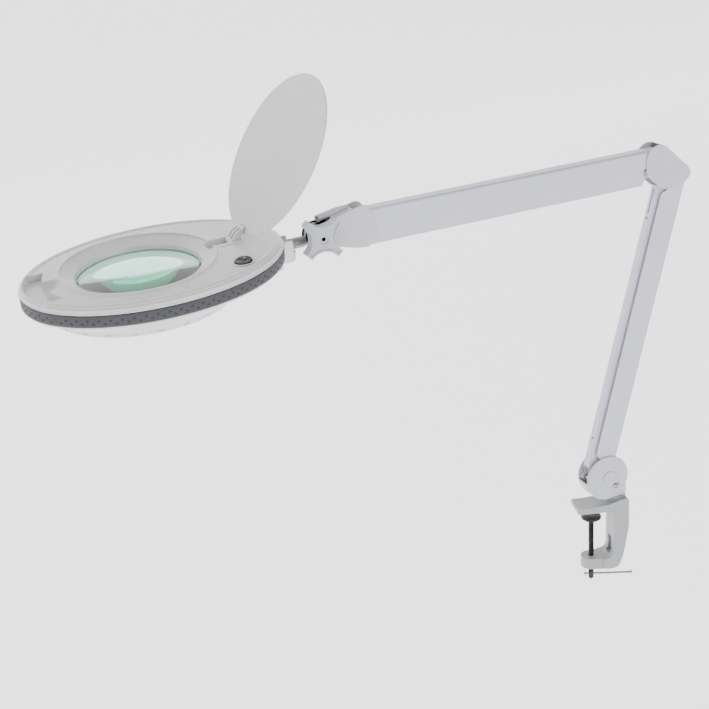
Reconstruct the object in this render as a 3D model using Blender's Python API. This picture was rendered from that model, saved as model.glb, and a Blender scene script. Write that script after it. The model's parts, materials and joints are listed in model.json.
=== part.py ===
"""Clamp-on magnifying lamp: two spring-balanced parallelogram arms and an oval lens head with a lid.

The world origin is on the underside of the clamp plate, on the clamp screw axis, with +Z up.
The arm plane is the world XZ plane seen through the arm_frame empty; the clamp is turned under it.
"""

import math

import bmesh
import bpy
from mathutils import Matrix, Vector

MM = 0.001

# clamp
CLAMP_TURN = math.radians(-12.93)
PLATE_HALF_WIDTH = 16.5 * MM
JAW_TOP = -65.0 * MM
JAW_BOTTOM = -79.0 * MM
JAW_END_RADIUS = 13.0 * MM
SWIVEL_X = 32.4 * MM
SWIVEL_RADIUS = 4.8 * MM
BOSS_TOP = 17.6 * MM
SCREW_RADIUS = 3.5 * MM
SCREW_BOTTOM = -97.9 * MM
TOMMY_HEIGHT = -91.3 * MM
TOMMY_TURN = math.radians(-9.8)

# arm frame, measured from the centre of the base drum
DRUM_TO_SWIVEL = 19.0 * MM
DRUM_HEIGHT = 46.4 * MM
DRUM_RADIUS = 28.5 * MM
COVER_INNER_Y = 10.6 * MM
COVER_OUTER_Y = 12.25 * MM
CHEEK_INNER_Y = 6.9 * MM
CHEEK_OUTER_Y = 8.6 * MM
PIN_RADIUS = 2.4 * MM
BORE_RADIUS = 2.75 * MM

# channels
OUTER_WIDTH = 20.4 * MM
OUTER_WALL = 1.2 * MM
OUTER_FACE = 6.5 * MM
OUTER_DEPTH = 29.2 * MM
INNER_WIDTH = 12.3 * MM
INNER_WALL = 1.0 * MM
INNER_FACE = 7.9 * MM
UPPER_INNER_FACE = 13.6 * MM
INNER_DEPTH = 15.5 * MM
ARM_LENGTH = 384.0 * MM
LOWER_LEAN = math.radians(15.2)
UPPER_DROP = math.radians(3.4)

# pivots in the arm plane, (x, z) from the drum centre
BASE_OUTER_PIVOT = (0.0, 0.0)
BASE_INNER_PIVOT = (-20.7 * MM, 0.0)
ELBOW_LOWER_OUTER = (100.7 * MM, 370.6 * MM)
ELBOW_LOWER_INNER = (80.0 * MM, 370.6 * MM)
ELBOW_UPPER_OUTER = (67.5 * MM, 396.0 * MM)
ELBOW_UPPER_INNER = (60.0 * MM, 374.3 * MM)
WRIST_SHIFT = (-ARM_LENGTH * math.cos(UPPER_DROP), -ARM_LENGTH * math.sin(UPPER_DROP))
WRIST_OUTER = (ELBOW_UPPER_OUTER[0] + WRIST_SHIFT[0], ELBOW_UPPER_OUTER[1] + WRIST_SHIFT[1])
WRIST_INNER = (ELBOW_UPPER_INNER[0] + WRIST_SHIFT[0], ELBOW_UPPER_INNER[1] + WRIST_SHIFT[1])
TILT_AXIS = (-355.9 * MM, 359.2 * MM)

# head mount
STEM_END = (-392.8 * MM, 351.4 * MM)
HEAD_TILT = math.radians(-4.4)
HEAD_ROLL = math.radians(5.24)
HEAD_YAW = math.radians(3.99)
SOCKET_X = 146.0 * MM
STEM_DROP = 12.8 * MM

# head, measured from the centre of the oval ring's top edge
RING_A = 140.4 * MM
RING_B = 109.2 * MM
RING_HEIGHT = 12.5 * MM
BOWL_X = -16.1 * MM
LENS_RADIUS = 65.5 * MM
LENS_CURVE = 346.0 * MM
HINGE_X = 87.0 * MM
HINGE_Z = 7.2 * MM
LID_RADIUS = 90.3 * MM
LID_OPEN = math.radians(124.0)
SWITCH_AT = (75.7 * MM, -66.1 * MM)
HEAD_SEGMENTS = 40


def clear_scene():
    for item in list(bpy.data.objects):
        bpy.data.objects.remove(item, do_unlink=True)


def material(name, color, roughness, metallic=0.0, transmission=0.0):
    mat = bpy.data.materials.new(name)
    mat.use_nodes = True
    shader = mat.node_tree.nodes["Principled BSDF"]
    shader.inputs["Base Color"].default_value = (*color, 1.0)
    shader.inputs["Roughness"].default_value = roughness
    shader.inputs["Metallic"].default_value = metallic
    shader.inputs["Transmission Weight"].default_value = transmission
    mat.diffuse_color = (*color, 1.0)
    return mat


def empty(name, parent, location, rotation=(0.0, 0.0, 0.0)):
    frame = bpy.data.objects.new(name, None)
    bpy.context.scene.collection.objects.link(frame)
    frame.parent = parent
    frame.location = location
    frame.rotation_euler = rotation
    return frame


def mesh_object(name, bm, mat, parent, location=(0.0, 0.0, 0.0), rotation=(0.0, 0.0, 0.0)):
    bmesh.ops.remove_doubles(bm, verts=bm.verts, dist=1e-6)
    bmesh.ops.recalc_face_normals(bm, faces=bm.faces)
    mesh = bpy.data.meshes.new(name)
    bm.to_mesh(mesh)
    bm.free()
    item = bpy.data.objects.new(name, mesh)
    bpy.context.scene.collection.objects.link(item)
    item.parent = parent
    item.location = location
    item.rotation_euler = rotation
    if mat is not None:
        item.data.materials.append(mat)
    return item


def loft(rings, closed=False):
    """Skin a list of equal point rings; closed joins the last ring to the first, else the ends are capped."""
    bm = bmesh.new()
    rows = [[bm.verts.new(p) for p in ring] for ring in rings]
    count = len(rows[0])
    pairs = list(zip(rows, rows[1:]))
    if closed:
        pairs.append((rows[-1], rows[0]))
    for low, high in pairs:
        for i in range(count):
            j = (i + 1) % count
            bm.faces.new((low[i], low[j], high[j], high[i]))
    if not closed:
        bm.faces.new(rows[0])
        bm.faces.new(rows[-1])
    return bm


def prism(outline, near, far, axis="Y"):
    """Extrude an (x, z) outline along Y, or an (x, y) outline along Z."""
    if axis == "Y":
        rings = [[(x, d, z) for x, z in outline] for d in (near, far)]
    else:
        rings = [[(x, y, d) for x, y in outline] for d in (near, far)]
    return loft(rings)


def box(x0, x1, y0, y1, z0, z1):
    return prism([(x0, z0), (x1, z0), (x1, z1), (x0, z1)], y0, y1)


def circle(radius, count, centre=(0.0, 0.0)):
    step = 2.0 * math.pi / count
    return [(centre[0] + radius * math.cos(i * step), centre[1] + radius * math.sin(i * step))
            for i in range(count)]


def hull(discs, count=16):
    """Convex outline around a set of (x, y, radius) discs."""
    points = []
    for x, y, radius in discs:
        points += circle(radius, count, (x, y))
    points = sorted(set((round(x, 8), round(y, 8)) for x, y in points))

    def half(ordered):
        chain = []
        for p in ordered:
            while len(chain) > 1 and turn(chain[-2], chain[-1], p) <= 1e-12:
                chain.pop()
            chain.append(p)
        return chain[:-1]

    return half(points) + half(points[::-1])


def turn(a, b, c):
    return (b[0] - a[0]) * (c[1] - a[1]) - (b[1] - a[1]) * (c[0] - a[0])


def rod(radius, start, end, count=14, axis="Y", centre=(0.0, 0.0)):
    """Cylinder along Y at (x, z) centre, along Z at (x, y) centre, or along X at (y, z) centre."""
    ring = circle(radius, count, centre)
    if axis == "Y":
        return loft([[(a, d, b) for a, b in ring] for d in (start, end)])
    if axis == "Z":
        return loft([[(a, b, d) for a, b in ring] for d in (start, end)])
    return loft([[(d, a, b) for a, b in ring] for d in (start, end)])


def lathe(profile, count=20, axis="Z", centre=(0.0, 0.0)):
    """Solid of revolution from (radius, height) steps with flat ends."""
    rings = []
    for radius, height in profile:
        ring = circle(radius, count, centre)
        if axis == "Z":
            rings.append([(a, b, height) for a, b in ring])
        elif axis == "Y":
            rings.append([(a, height, b) for a, b in ring])
        else:
            rings.append([(height, a, b) for a, b in ring])
    return loft(rings)


def tube(outer, inner, start, end, count=20, axis="Z", centre=(0.0, 0.0)):
    rings = []
    for radius, height in ((outer, start), (outer, end), (inner, end), (inner, start)):
        ring = circle(radius, count, centre)
        if axis == "Z":
            rings.append([(a, b, height) for a, b in ring])
        elif axis == "Y":
            rings.append([(a, height, b) for a, b in ring])
        else:
            rings.append([(height, a, b) for a, b in ring])
    return loft(rings, closed=True)


def oval_shell(profile, count=HEAD_SEGMENTS):
    """Closed ring-shaped body from (semi-axis x, semi-axis y, centre x, height) steps in millimetres."""
    step = 2.0 * math.pi / count
    rings = []
    for a, b, cx, z in profile:
        rings.append([((cx + a * math.cos(i * step)) * MM, b * math.sin(i * step) * MM, z * MM)
                      for i in range(count)])
    return loft(rings, closed=True)


def boolean(target, bm, operation):
    """Add or cut a helper solid given in the target's own coordinates."""
    helper = mesh_object(target.name + "_tool", bm, None, target)
    helper.hide_render = True
    helper.display_type = "WIRE"
    step = target.modifiers.new(operation.lower(), "BOOLEAN")
    step.operation = operation
    step.solver = "EXACT"
    step.object = helper


def cut(target, *solids):
    for bm in solids:
        boolean(target, bm, "DIFFERENCE")


def add(target, *solids):
    for bm in solids:
        boolean(target, bm, "UNION")


# ---------------------------------------------------------------- clamp


def clamp_frame(parent, mat):
    outline = [(-21.4, 0), (-21.4, 6.9), (-20.6, 7.7), (-5.5, 7.7), (7.4, 8.8), (18.5, 10.0),
               (26.0, 12.2), (33.5, 14.6), (41.5, 15.6), (43.4, 14.6), (44.0, 12.6), (44.0, -20.5),
               (43.0, -28.2), (40.8, -41.9), (38.2, -55.6), (36.3, -63.8), (33.4, -72.0),
               (30.6, -76.4), (27.0, -78.4), (24.0, -79.0), (12.0, -79.0), (12.0, -65.0),
               (14.5, -65.0), (18.3, -64.2), (21.6, -62.1), (23.7, -58.8), (24.5, -55.0),
               (24.5, -1.5), (23.0, 0)]
    outline = [(x * MM, z * MM) for x, z in outline]
    item = mesh_object("clamp_frame", prism(outline, -PLATE_HALF_WIDTH, PLATE_HALF_WIDTH), mat, parent)
    plan = hull([(0.0, 0.0, JAW_END_RADIUS), (24 * MM, 12.5 * MM, 4 * MM), (24 * MM, -12.5 * MM, 4 * MM)])
    jaw = prism(plan, JAW_BOTTOM, JAW_TOP, "Z")
    boss = rod(11.5 * MM, 8 * MM, BOSS_TOP, 24, "Z", (SWIVEL_X, 0.0))
    add(item, jaw, boss)
    swivel_bore = rod(SWIVEL_RADIUS + 0.4 * MM, -14 * MM, 30 * MM, 18, "Z", (SWIVEL_X, 0.0))
    screw_bore = rod(SCREW_RADIUS + 0.35 * MM, -90 * MM, -60 * MM, 14, "Z")
    pocket = box(20 * MM, 31 * MM, -6.5 * MM, 6.5 * MM, -63 * MM, -39.5 * MM)
    cut(item, swivel_bore, screw_bore, pocket)
    return item


def clamp_pad(parent, mat):
    profile = [(4.8, -18.0), (6.0, -17.4), (12.0, -13.4), (12.5, -12.6), (12.5, -10.2), (12.0, -9.6),
               (2.0, -9.6)]
    item = mesh_object("clamp_pad", lathe([(r * MM, z * MM) for r, z in profile]), mat, parent)
    cut(item, rod(2.6 * MM, -30 * MM, -12.6 * MM, 20, "Z"))
    return item


def clamp_screw(parent, mat):
    profile = [(2.9, SCREW_BOTTOM / MM), (SCREW_RADIUS / MM, SCREW_BOTTOM / MM + 0.8),
               (SCREW_RADIUS / MM, -18.4), (2.2, -18.4), (2.2, -13.2)]
    item = mesh_object("clamp_screw", lathe([(r * MM, z * MM) for r, z in profile], 20), mat, parent,
                       (0.0, 0.0, 0.0), (0.0, 0.0, TOMMY_TURN))
    cut(item, rod(1.75 * MM, -8 * MM, 8 * MM, 16, "X", (0.0, TOMMY_HEIGHT)))
    return item


def tommy_bar(parent, mat):
    profile = [(1.3, -9.4), (2.3, -8.9), (2.5, -7.9), (2.1, -6.7), (1.4, -6.2), (1.4, 48.8), (2.1, 49.3),
               (2.5, 50.5), (2.3, 51.5), (1.3, 52.0)]
    bm = lathe([(r * MM, x * MM) for r, x in profile], 16, "X")
    return mesh_object("tommy_bar", bm, mat, parent)


# ---------------------------------------------------------------- base


def swivel_pin(parent, mat):
    top = -19.0 * MM
    low = -DRUM_HEIGHT - 12 * MM
    bm = lathe([(4.2 * MM, low), (SWIVEL_RADIUS, low + 0.8 * MM), (SWIVEL_RADIUS, top)], 18, "Z",
               (DRUM_TO_SWIVEL, 0.0))
    return mesh_object("swivel_pin", bm, mat, parent)


def base_bracket(parent, mat):
    inner_x = BASE_INNER_PIVOT[0]
    outline = hull([(0.0, 0.0, 5 * MM), (inner_x, 0.0, 5 * MM), (-6 * MM, -17 * MM, 6 * MM)])
    item = mesh_object("base_bracket", prism(outline, -CHEEK_OUTER_Y, CHEEK_OUTER_Y), mat, parent)
    foot = prism(hull([(11 * MM, -2.4 * MM, 7.6 * MM), (11 * MM, 2.4 * MM, 7.6 * MM),
                       (22.8 * MM, -2.4 * MM, 7.6 * MM), (22.8 * MM, 2.4 * MM, 7.6 * MM)]),
                 -28.1 * MM, -9.2 * MM, "Z")
    bridge = box(-10 * MM, 12 * MM, -CHEEK_OUTER_Y, CHEEK_OUTER_Y, -22.6 * MM, -12.6 * MM)
    slot = box(-40 * MM, 3.2 * MM, -CHEEK_INNER_Y, CHEEK_INNER_Y, -12.6 * MM, 20 * MM)
    relief = box(3.0 * MM, 12 * MM, -CHEEK_INNER_Y, CHEEK_INNER_Y, -9.0 * MM, 20 * MM)
    add(item, foot, bridge)
    cut(item, slot, relief,
        rod(BORE_RADIUS, -20 * MM, 20 * MM, 13),
        rod(BORE_RADIUS, -20 * MM, 20 * MM, 13, "Y", BASE_INNER_PIVOT),
        rod(1.9 * MM, -20 * MM, -3 * MM, 16, "Y", (11.1 * MM, -11.8 * MM)),
        rod(SWIVEL_RADIUS + 0.3 * MM, -40 * MM, -18.6 * MM, 18, "Z", (DRUM_TO_SWIVEL, 0.0)))
    return item


def base_cover_front(parent, mat):
    bm = prism(circle(DRUM_RADIUS, 36), -COVER_OUTER_Y, -COVER_INNER_Y)
    item = mesh_object("base_cover_front", bm, mat, parent)
    badge = hull([(2.4 * MM, -0.9 * MM, 8.8 * MM), (11.1 * MM, -13.4 * MM, 5.2 * MM)])
    add(item, prism(badge, -COVER_OUTER_Y - 0.6 * MM, -COVER_OUTER_Y + 0.5 * MM))
    cut(item, rod(1.9 * MM, -20 * MM, 0.0, 16, "Y", (11.1 * MM, -11.8 * MM)))
    return item


def arc_wall(start, end, radius, wall, near, far, steps):
    """Curved strip of the drum wall between two angles given in degrees."""
    angles = [math.radians(start + (end - start) * i / steps) for i in range(steps + 1)]
    outline = [(radius * math.cos(a), radius * math.sin(a)) for a in angles]
    outline += [((radius - wall) * math.cos(a), (radius - wall) * math.sin(a)) for a in angles[::-1]]
    return prism(outline, near, far)


def base_cover_back(parent, mat):
    bm = prism(circle(DRUM_RADIUS, 36), COVER_INNER_Y, COVER_OUTER_Y)
    item = mesh_object("base_cover_back", bm, mat, parent)
    low = -COVER_INNER_Y + 0.3 * MM
    high = COVER_INNER_Y + 0.6 * MM
    add(item, arc_wall(190, 268, DRUM_RADIUS - 0.1 * MM, 1.9 * MM, low, high, 10),
        arc_wall(-16, 38, DRUM_RADIUS - 0.1 * MM, 1.9 * MM, low, high, 6))
    return item


def base_screw(parent, mat):
    y = -COVER_OUTER_Y - 0.9 * MM
    bm = lathe([(2.2 * MM, y - 1.7 * MM), (3.1 * MM, y - 1.1 * MM), (3.2 * MM, y), (1.5 * MM, y),
                (1.5 * MM, -5 * MM)], 20, "Y", (11.1 * MM, -11.8 * MM))
    return mesh_object("base_screw", bm, mat, parent)


def pivot_pin(name, parent, at, half, mat):
    bm = lathe([(PIN_RADIUS, -half), (PIN_RADIUS, half)], 12, "Y")
    return mesh_object(name, bm, mat, parent, (at[0], 0.0, at[1]))


# ---------------------------------------------------------------- arms


def outer_outline(length):
    """Side view of an outer channel: the pivots are at z = 0 and z = length, the back runs at +x."""
    edge = OUTER_FACE - OUTER_DEPTH
    ends = []
    for angle in range(-90, 1, 18):
        a = math.radians(angle)
        ends.append((OUTER_FACE * math.cos(a), OUTER_FACE * math.sin(a)))
    left = [(edge, 28.4 * MM), (-15.7 * MM, 22.6 * MM), (-9.5 * MM, 12.0 * MM), (-6.5 * MM, 0.0)]
    for angle in range(198, 270, 18):
        a = math.radians(angle)
        left.append((OUTER_FACE * math.cos(a), OUTER_FACE * math.sin(a)))
    low = ends
    high = [(x, length - z) for x, z in reversed(ends)]
    high_left = [(x, length - z) for x, z in reversed(left)]
    return low + high + high_left + left


def outer_channel(name, parent, pivot, lean, mat):
    half = OUTER_WIDTH / 2
    item = mesh_object(name, prism(outer_outline(ARM_LENGTH), -half, half), mat, parent,
                       (pivot[0], 0.0, pivot[1]), (0.0, lean, 0.0))
    inner = half - OUTER_WALL
    reach = ARM_LENGTH + 20 * MM
    far = OUTER_FACE - OUTER_WALL
    cut(item, box(-40 * MM, far, -inner, inner, -20 * MM, reach),
        box(far - 0.1 * MM, 10 * MM, -inner, inner, -20 * MM, 1 * MM),
        box(far - 0.1 * MM, 10 * MM, -inner, inner, ARM_LENGTH - 1 * MM, reach),
        rod(BORE_RADIUS, -20 * MM, 20 * MM, 13),
        rod(BORE_RADIUS, -20 * MM, 20 * MM, 13, "Y", (0.0, ARM_LENGTH)))
    return item


def inner_channel(name, parent, pivot, lean, depth, corner, mat):
    """U-shaped link whose web stands depth in front of its pivots; corner is where its ends start to taper."""
    half = INNER_WIDTH / 2
    face = -depth
    back = INNER_DEPTH - INNER_FACE
    top = ARM_LENGTH
    lug = 4.8 * MM
    outline = [(face, corner), (-lug, corner - 7 * MM)]
    for angle in range(180, 361, 30):
        a = math.radians(angle)
        outline.append((lug * math.cos(a), lug * math.sin(a)))
    outline += [(lug, 9 * MM), (back, 16 * MM)]
    outline += [(x, top - z) for x, z in reversed(outline)]
    item = mesh_object(name, prism(outline, -half, half), mat, parent,
                       (pivot[0], 0.0, pivot[1]), (0.0, lean, 0.0))
    inner = half - INNER_WALL
    cut(item, box(face + INNER_WALL, 30 * MM, -inner, inner, -20 * MM, top + 20 * MM),
        box(-30 * MM, 1.3 * MM, -inner, inner, -20 * MM, 15 * MM),
        box(-30 * MM, 1.3 * MM, -inner, inner, top - 15 * MM, top + 20 * MM),
        rod(BORE_RADIUS, -20 * MM, 20 * MM, 13),
        rod(BORE_RADIUS, -20 * MM, 20 * MM, 13, "Y", (0.0, top)))
    return item


def slot_and_holes(item, slots, holes):
    for start, end in slots:
        cut(item, box(-20 * MM, -0.7 * MM, -1.1 * MM, 1.1 * MM, start, end))
    for height in holes:
        cut(item, rod(1.6 * MM, -20 * MM, -1.1 * MM, 12, "X", (0.0, height)))


def coil(radius, wire, start, end, turns, per_turn=8, sides=3):
    """Round-wire helix along Z with flat ends."""
    rings = []
    count = turns * per_turn
    for i in range(count + 1):
        angle = 2.0 * math.pi * i / per_turn
        height = start + (end - start) * i / count
        centre = Vector((radius * math.cos(angle), radius * math.sin(angle), height))
        out = Vector((math.cos(angle), math.sin(angle), 0.0))
        rings.append([centre + out * (wire * math.cos(2 * math.pi * k / sides))
                      + Vector((0, 0, wire * math.sin(2 * math.pi * k / sides))) for k in range(sides)])
    return loft(rings)


def arm_spring(name, parent, pivot, lean, mat):
    bm = coil(2.6 * MM, 0.75 * MM, 60 * MM, 170 * MM, 12)
    return mesh_object(name, bm, mat, parent, (pivot[0], 0.0, pivot[1]), (0.0, lean, 0.0))


# ---------------------------------------------------------------- elbow


ELBOW_DISCS = [(67.0, 390.5, 17.0), (79.0, 373.5, 19.5), (98.8, 370.3, 10.6), (84.5, 369.5, 15.4),
               (63.2, 379.5, 13.0)]


def scaled(discs):
    return [(x * MM, z * MM, r * MM) for x, z, r in discs]


def elbow_bracket(parent, mat):
    discs = [(*ELBOW_LOWER_OUTER, 5 * MM), (*ELBOW_LOWER_INNER, 5 * MM), (*ELBOW_UPPER_OUTER, 5 * MM),
             (*ELBOW_UPPER_INNER, 5 * MM)]
    item = mesh_object("elbow_bracket", prism(hull(discs), -CHEEK_OUTER_Y, CHEEK_OUTER_Y), mat, parent)
    gap = CHEEK_INNER_Y
    cut(item, box(40 * MM, 84 * MM, -gap, gap, 360 * MM, 410 * MM),
        box(83 * MM, 120 * MM, -gap, gap, 360 * MM, 376.6 * MM))
    for at in (ELBOW_LOWER_OUTER, ELBOW_LOWER_INNER, ELBOW_UPPER_OUTER, ELBOW_UPPER_INNER):
        cut(item, rod(BORE_RADIUS, -20 * MM, 20 * MM, 13, "Y", at))
    return item


def elbow_cover(name, parent, near, far, mat):
    return mesh_object(name, prism(hull(scaled(ELBOW_DISCS)), near, far), mat, parent)


def elbow_skirt(item):
    """Curved wall of the back cover that closes the outside of the elbow."""
    outside = hull(scaled(ELBOW_DISCS))
    inside = hull([(x, z, r - 1.6 * MM) for x, z, r in scaled(ELBOW_DISCS)])
    centre = (83 * MM, 378 * MM)
    keep = []
    for x, z in outside:
        angle = math.degrees(math.atan2(z - centre[1], x - centre[0]))
        if -8 < angle < 112:
            keep.append((angle, (x, z)))
    keep = [p for _, p in sorted(keep)]
    low = []
    for x, z in inside:
        angle = math.degrees(math.atan2(z - centre[1], x - centre[0]))
        if -8 < angle < 112:
            low.append((angle, (x, z)))
    low = [p for _, p in sorted(low, reverse=True)]
    add(item, prism(keep + low, -COVER_INNER_Y + 0.3 * MM, COVER_INNER_Y + 0.6 * MM))


# ---------------------------------------------------------------- wrist


WRIST_DISCS = [(-304.5, 377.3, 9.2), (-310.5, 360.8, 21.0), (-303.0, 352.6, 13.2), (-350.5, 360.0, 12.4)]


def wrist_bracket(parent, mat):
    discs = [(*WRIST_OUTER, 5 * MM), (*WRIST_INNER, 5 * MM), (*TILT_AXIS, 10 * MM)]
    item = mesh_object("wrist_bracket", prism(hull(discs), -CHEEK_OUTER_Y, CHEEK_OUTER_Y), mat, parent)
    gap = CHEEK_INNER_Y
    cut(item, box(-333.5 * MM, -290 * MM, -gap, gap, 330 * MM, 400 * MM),
        box(-380 * MM, -341.5 * MM, -gap, gap, 330 * MM, 400 * MM))
    for at, radius in ((WRIST_OUTER, BORE_RADIUS), (WRIST_INNER, BORE_RADIUS), (TILT_AXIS, 3.4 * MM)):
        cut(item, rod(radius, -20 * MM, 20 * MM, 13, "Y", at))
    return item


def wrist_cover(name, parent, near, far, mat):
    item = mesh_object(name, prism(hull(scaled(WRIST_DISCS)), near, far), mat, parent)
    cut(item, rod(3.4 * MM, -20 * MM, 20 * MM, 16, "Y", TILT_AXIS))
    return item


def wrist_roof(parent, mat):
    """Curved cap over the wrist bracket with the cable guide pipe along its middle."""
    slope = math.radians(-14.5)
    bm = box(-2 * MM, 20.5 * MM, -10.2 * MM, 10.2 * MM, -2.0 * MM, -0.4 * MM)
    item = mesh_object("wrist_roof", bm, mat, parent, (-338.0 * MM, 0.0, 378.2 * MM), (0.0, slope, 0.0))
    add(item, rod(4.0 * MM, -16.8 * MM, 20 * MM, 20, "X", (0.0, 1.6 * MM)))
    cut(item, rod(2.9 * MM, -30 * MM, 17 * MM, 20, "X", (0.0, 1.6 * MM)))
    return item


def friction_ring(name, parent, near, far, mat):
    bm = tube(13.6 * MM, 3.5 * MM, near, far, 24, "Y")
    return mesh_object(name, bm, mat, parent, (TILT_AXIS[0], 0.0, TILT_AXIS[1]))


def tilt_bolt(parent, mat):
    bm = lathe([(2.6 * MM, -26.5 * MM), (3.0 * MM, -26.0 * MM), (3.0 * MM, 12.7 * MM), (6.0 * MM, 12.7 * MM),
                (6.0 * MM, 15.6 * MM), (5.2 * MM, 16.4 * MM)], 16, "Y")
    return mesh_object("tilt_bolt", bm, mat, parent, (TILT_AXIS[0], 0.0, TILT_AXIS[1]))


def knob_outline():
    """Four blunt lobes joined by hollow arcs."""
    points = []
    tip = 25.4 * MM
    half = math.radians(9.6)
    reach = 32.2 * MM
    hollow = 18.7 * MM
    for quarter in range(4):
        base = math.radians(45 + 90 * quarter)
        for a in (base - half, base + half):
            points.append((tip * math.cos(a), tip * math.sin(a)))
        middle = base + math.radians(45)
        centre = (reach * math.cos(middle), reach * math.sin(middle))
        spread = math.degrees(math.asin(tip * math.sin(math.radians(45) - half) / hollow))
        for k in range(1, 8):
            a = middle + math.pi + math.radians(spread * (1 - 2 * k / 8))
            points.append((centre[0] + hollow * math.cos(a), centre[1] + hollow * math.sin(a)))
    return points


def tilt_knob(parent, mat):
    item = mesh_object("tilt_knob", prism(knob_outline(), -29 * MM, -14 * MM), mat, parent,
                       (TILT_AXIS[0], 0.0, TILT_AXIS[1]))
    add(item, rod(7.0 * MM, -15 * MM, -12.7 * MM, 18))
    cut(item, rod(3.3 * MM, -26.9 * MM, 0.0, 14), rod(5.3 * MM, -40 * MM, -28 * MM, 18))
    return item


# ---------------------------------------------------------------- head mount


def tilt_eye(parent, mat):
    item = mesh_object("tilt_eye", rod(11.8 * MM, -5.2 * MM, 5.2 * MM, 24), mat, parent,
                       (TILT_AXIS[0], 0.0, TILT_AXIS[1]))
    drop = STEM_END[1] + (TILT_AXIS[0] - STEM_END[0]) * math.tan(-HEAD_TILT) - TILT_AXIS[1]
    neck = rod(5.2 * MM, -13.6 * MM, -3 * MM, 16, "X")
    bore = rod(3.5 * MM, -30 * MM, -4.6 * MM, 12, "X")
    for bm in (neck, bore):
        bmesh.ops.rotate(bm, verts=bm.verts, cent=(0, 0, 0), matrix=Matrix.Rotation(HEAD_TILT, 3, "Y"))
        bmesh.ops.translate(bm, verts=bm.verts, vec=(0.0, 0.0, drop))
    add(item, neck)
    cut(item, bore, rod(3.4 * MM, -20 * MM, 20 * MM, 14))
    return item


def head_stem(parent, mat):
    profile = [(5.4, -4.6), (6.2, -3.8), (6.2, 22.9), (3.2, 22.9), (3.2, 31.4)]
    item = mesh_object("head_stem", lathe([(r * MM, x * MM) for r, x in profile], 18, "X"), mat, parent)
    add(item, rod(4.5 * MM, -13.5 * MM, 0.0, 16, "Z"))
    return item


# ---------------------------------------------------------------- head


def upper_housing(parent, place, mat):
    bowl = BOWL_X / MM
    profile = [(140.2, 109.0, 0, 0.3), (140.0, 108.8, 0, 2.6), (136.8, 106.2, -0.6, 7.2),
               (133.8, 102.6, -0.8, 8.9), (130.4, 98.0, -0.4, 7.9), (104.0, 89.0, -10.0, 8.9),
               (84.2, 84.2, bowl, 9.7), (82.4, 82.4, bowl, 11.2), (79.6, 79.6, bowl, 11.1),
               (64.2, 64.2, bowl, -0.8), (63.0, 63.0, bowl, -1.6), (67.0, 67.0, bowl, -1.6),
               (133.3, 102.1, 0, -1.2), (133.3, 102.1, 0, 0.3)]
    item = mesh_object("upper_housing", oval_shell(profile), mat, parent, place)
    pad = hull([(72 * MM, 10 * MM, 4 * MM), (72 * MM, -10 * MM, 4 * MM), (92 * MM, 10 * MM, 4 * MM),
                (92 * MM, -10 * MM, 4 * MM)], 12)
    add(item, prism(pad, 7.0 * MM, 10.3 * MM, "Z"))
    grip = []
    for k in range(13):
        a = math.radians(180 - 24.5 + 49 * k / 12)
        grip.append((130.9 * MM * math.cos(a), 98.6 * MM * math.sin(a)))
    for k in range(9):
        a = math.radians(180 + 24 - 48 * k / 8)
        grip.append((BOWL_X + 97.0 * MM * math.cos(a), 97.0 * MM * math.sin(a)))
    cut(item, prism(grip, 1.6 * MM, 20 * MM, "Z"),
        rod(10 * MM, 1.2 * MM, 20 * MM, 19, "Z", (-116.0 * MM, 0.4 * MM)),
        box(60 * MM, 97.5 * MM, -8.9 * MM, 8.9 * MM, 3.4 * MM, 20 * MM),
        rod(1.7 * MM, -13.4 * MM, 13.4 * MM, 12, "Y", (HINGE_X, HINGE_Z)),
        rod(10.3 * MM, -10 * MM, 20 * MM, 20, "Z", SWITCH_AT),
        rod(12.0 * MM, 8.9 * MM, 20 * MM, 20, "Z", SWITCH_AT))
    return item


def bumper_ring(parent, place, mat):
    profile = [(RING_A / MM, RING_B / MM, 0, -0.3), (141.2, 110.0, 0, -4.0), (141.2, 110.0, 0, -9.0),
               (RING_A / MM, RING_B / MM, 0, -RING_HEIGHT / MM),
               (134.0, 102.8, 0, -RING_HEIGHT / MM), (134.0, 102.8, 0, -0.3)]
    item = mesh_object("bumper_ring", oval_shell(profile), mat, parent, place)
    cut(item, rod(12.4 * MM, -40 * MM, 20 * MM, 24, "Z", (SOCKET_X, 0.0)),
        box(120 * MM, SOCKET_X, -9.4 * MM, 9.4 * MM, -30 * MM, 10 * MM))
    return item


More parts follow.
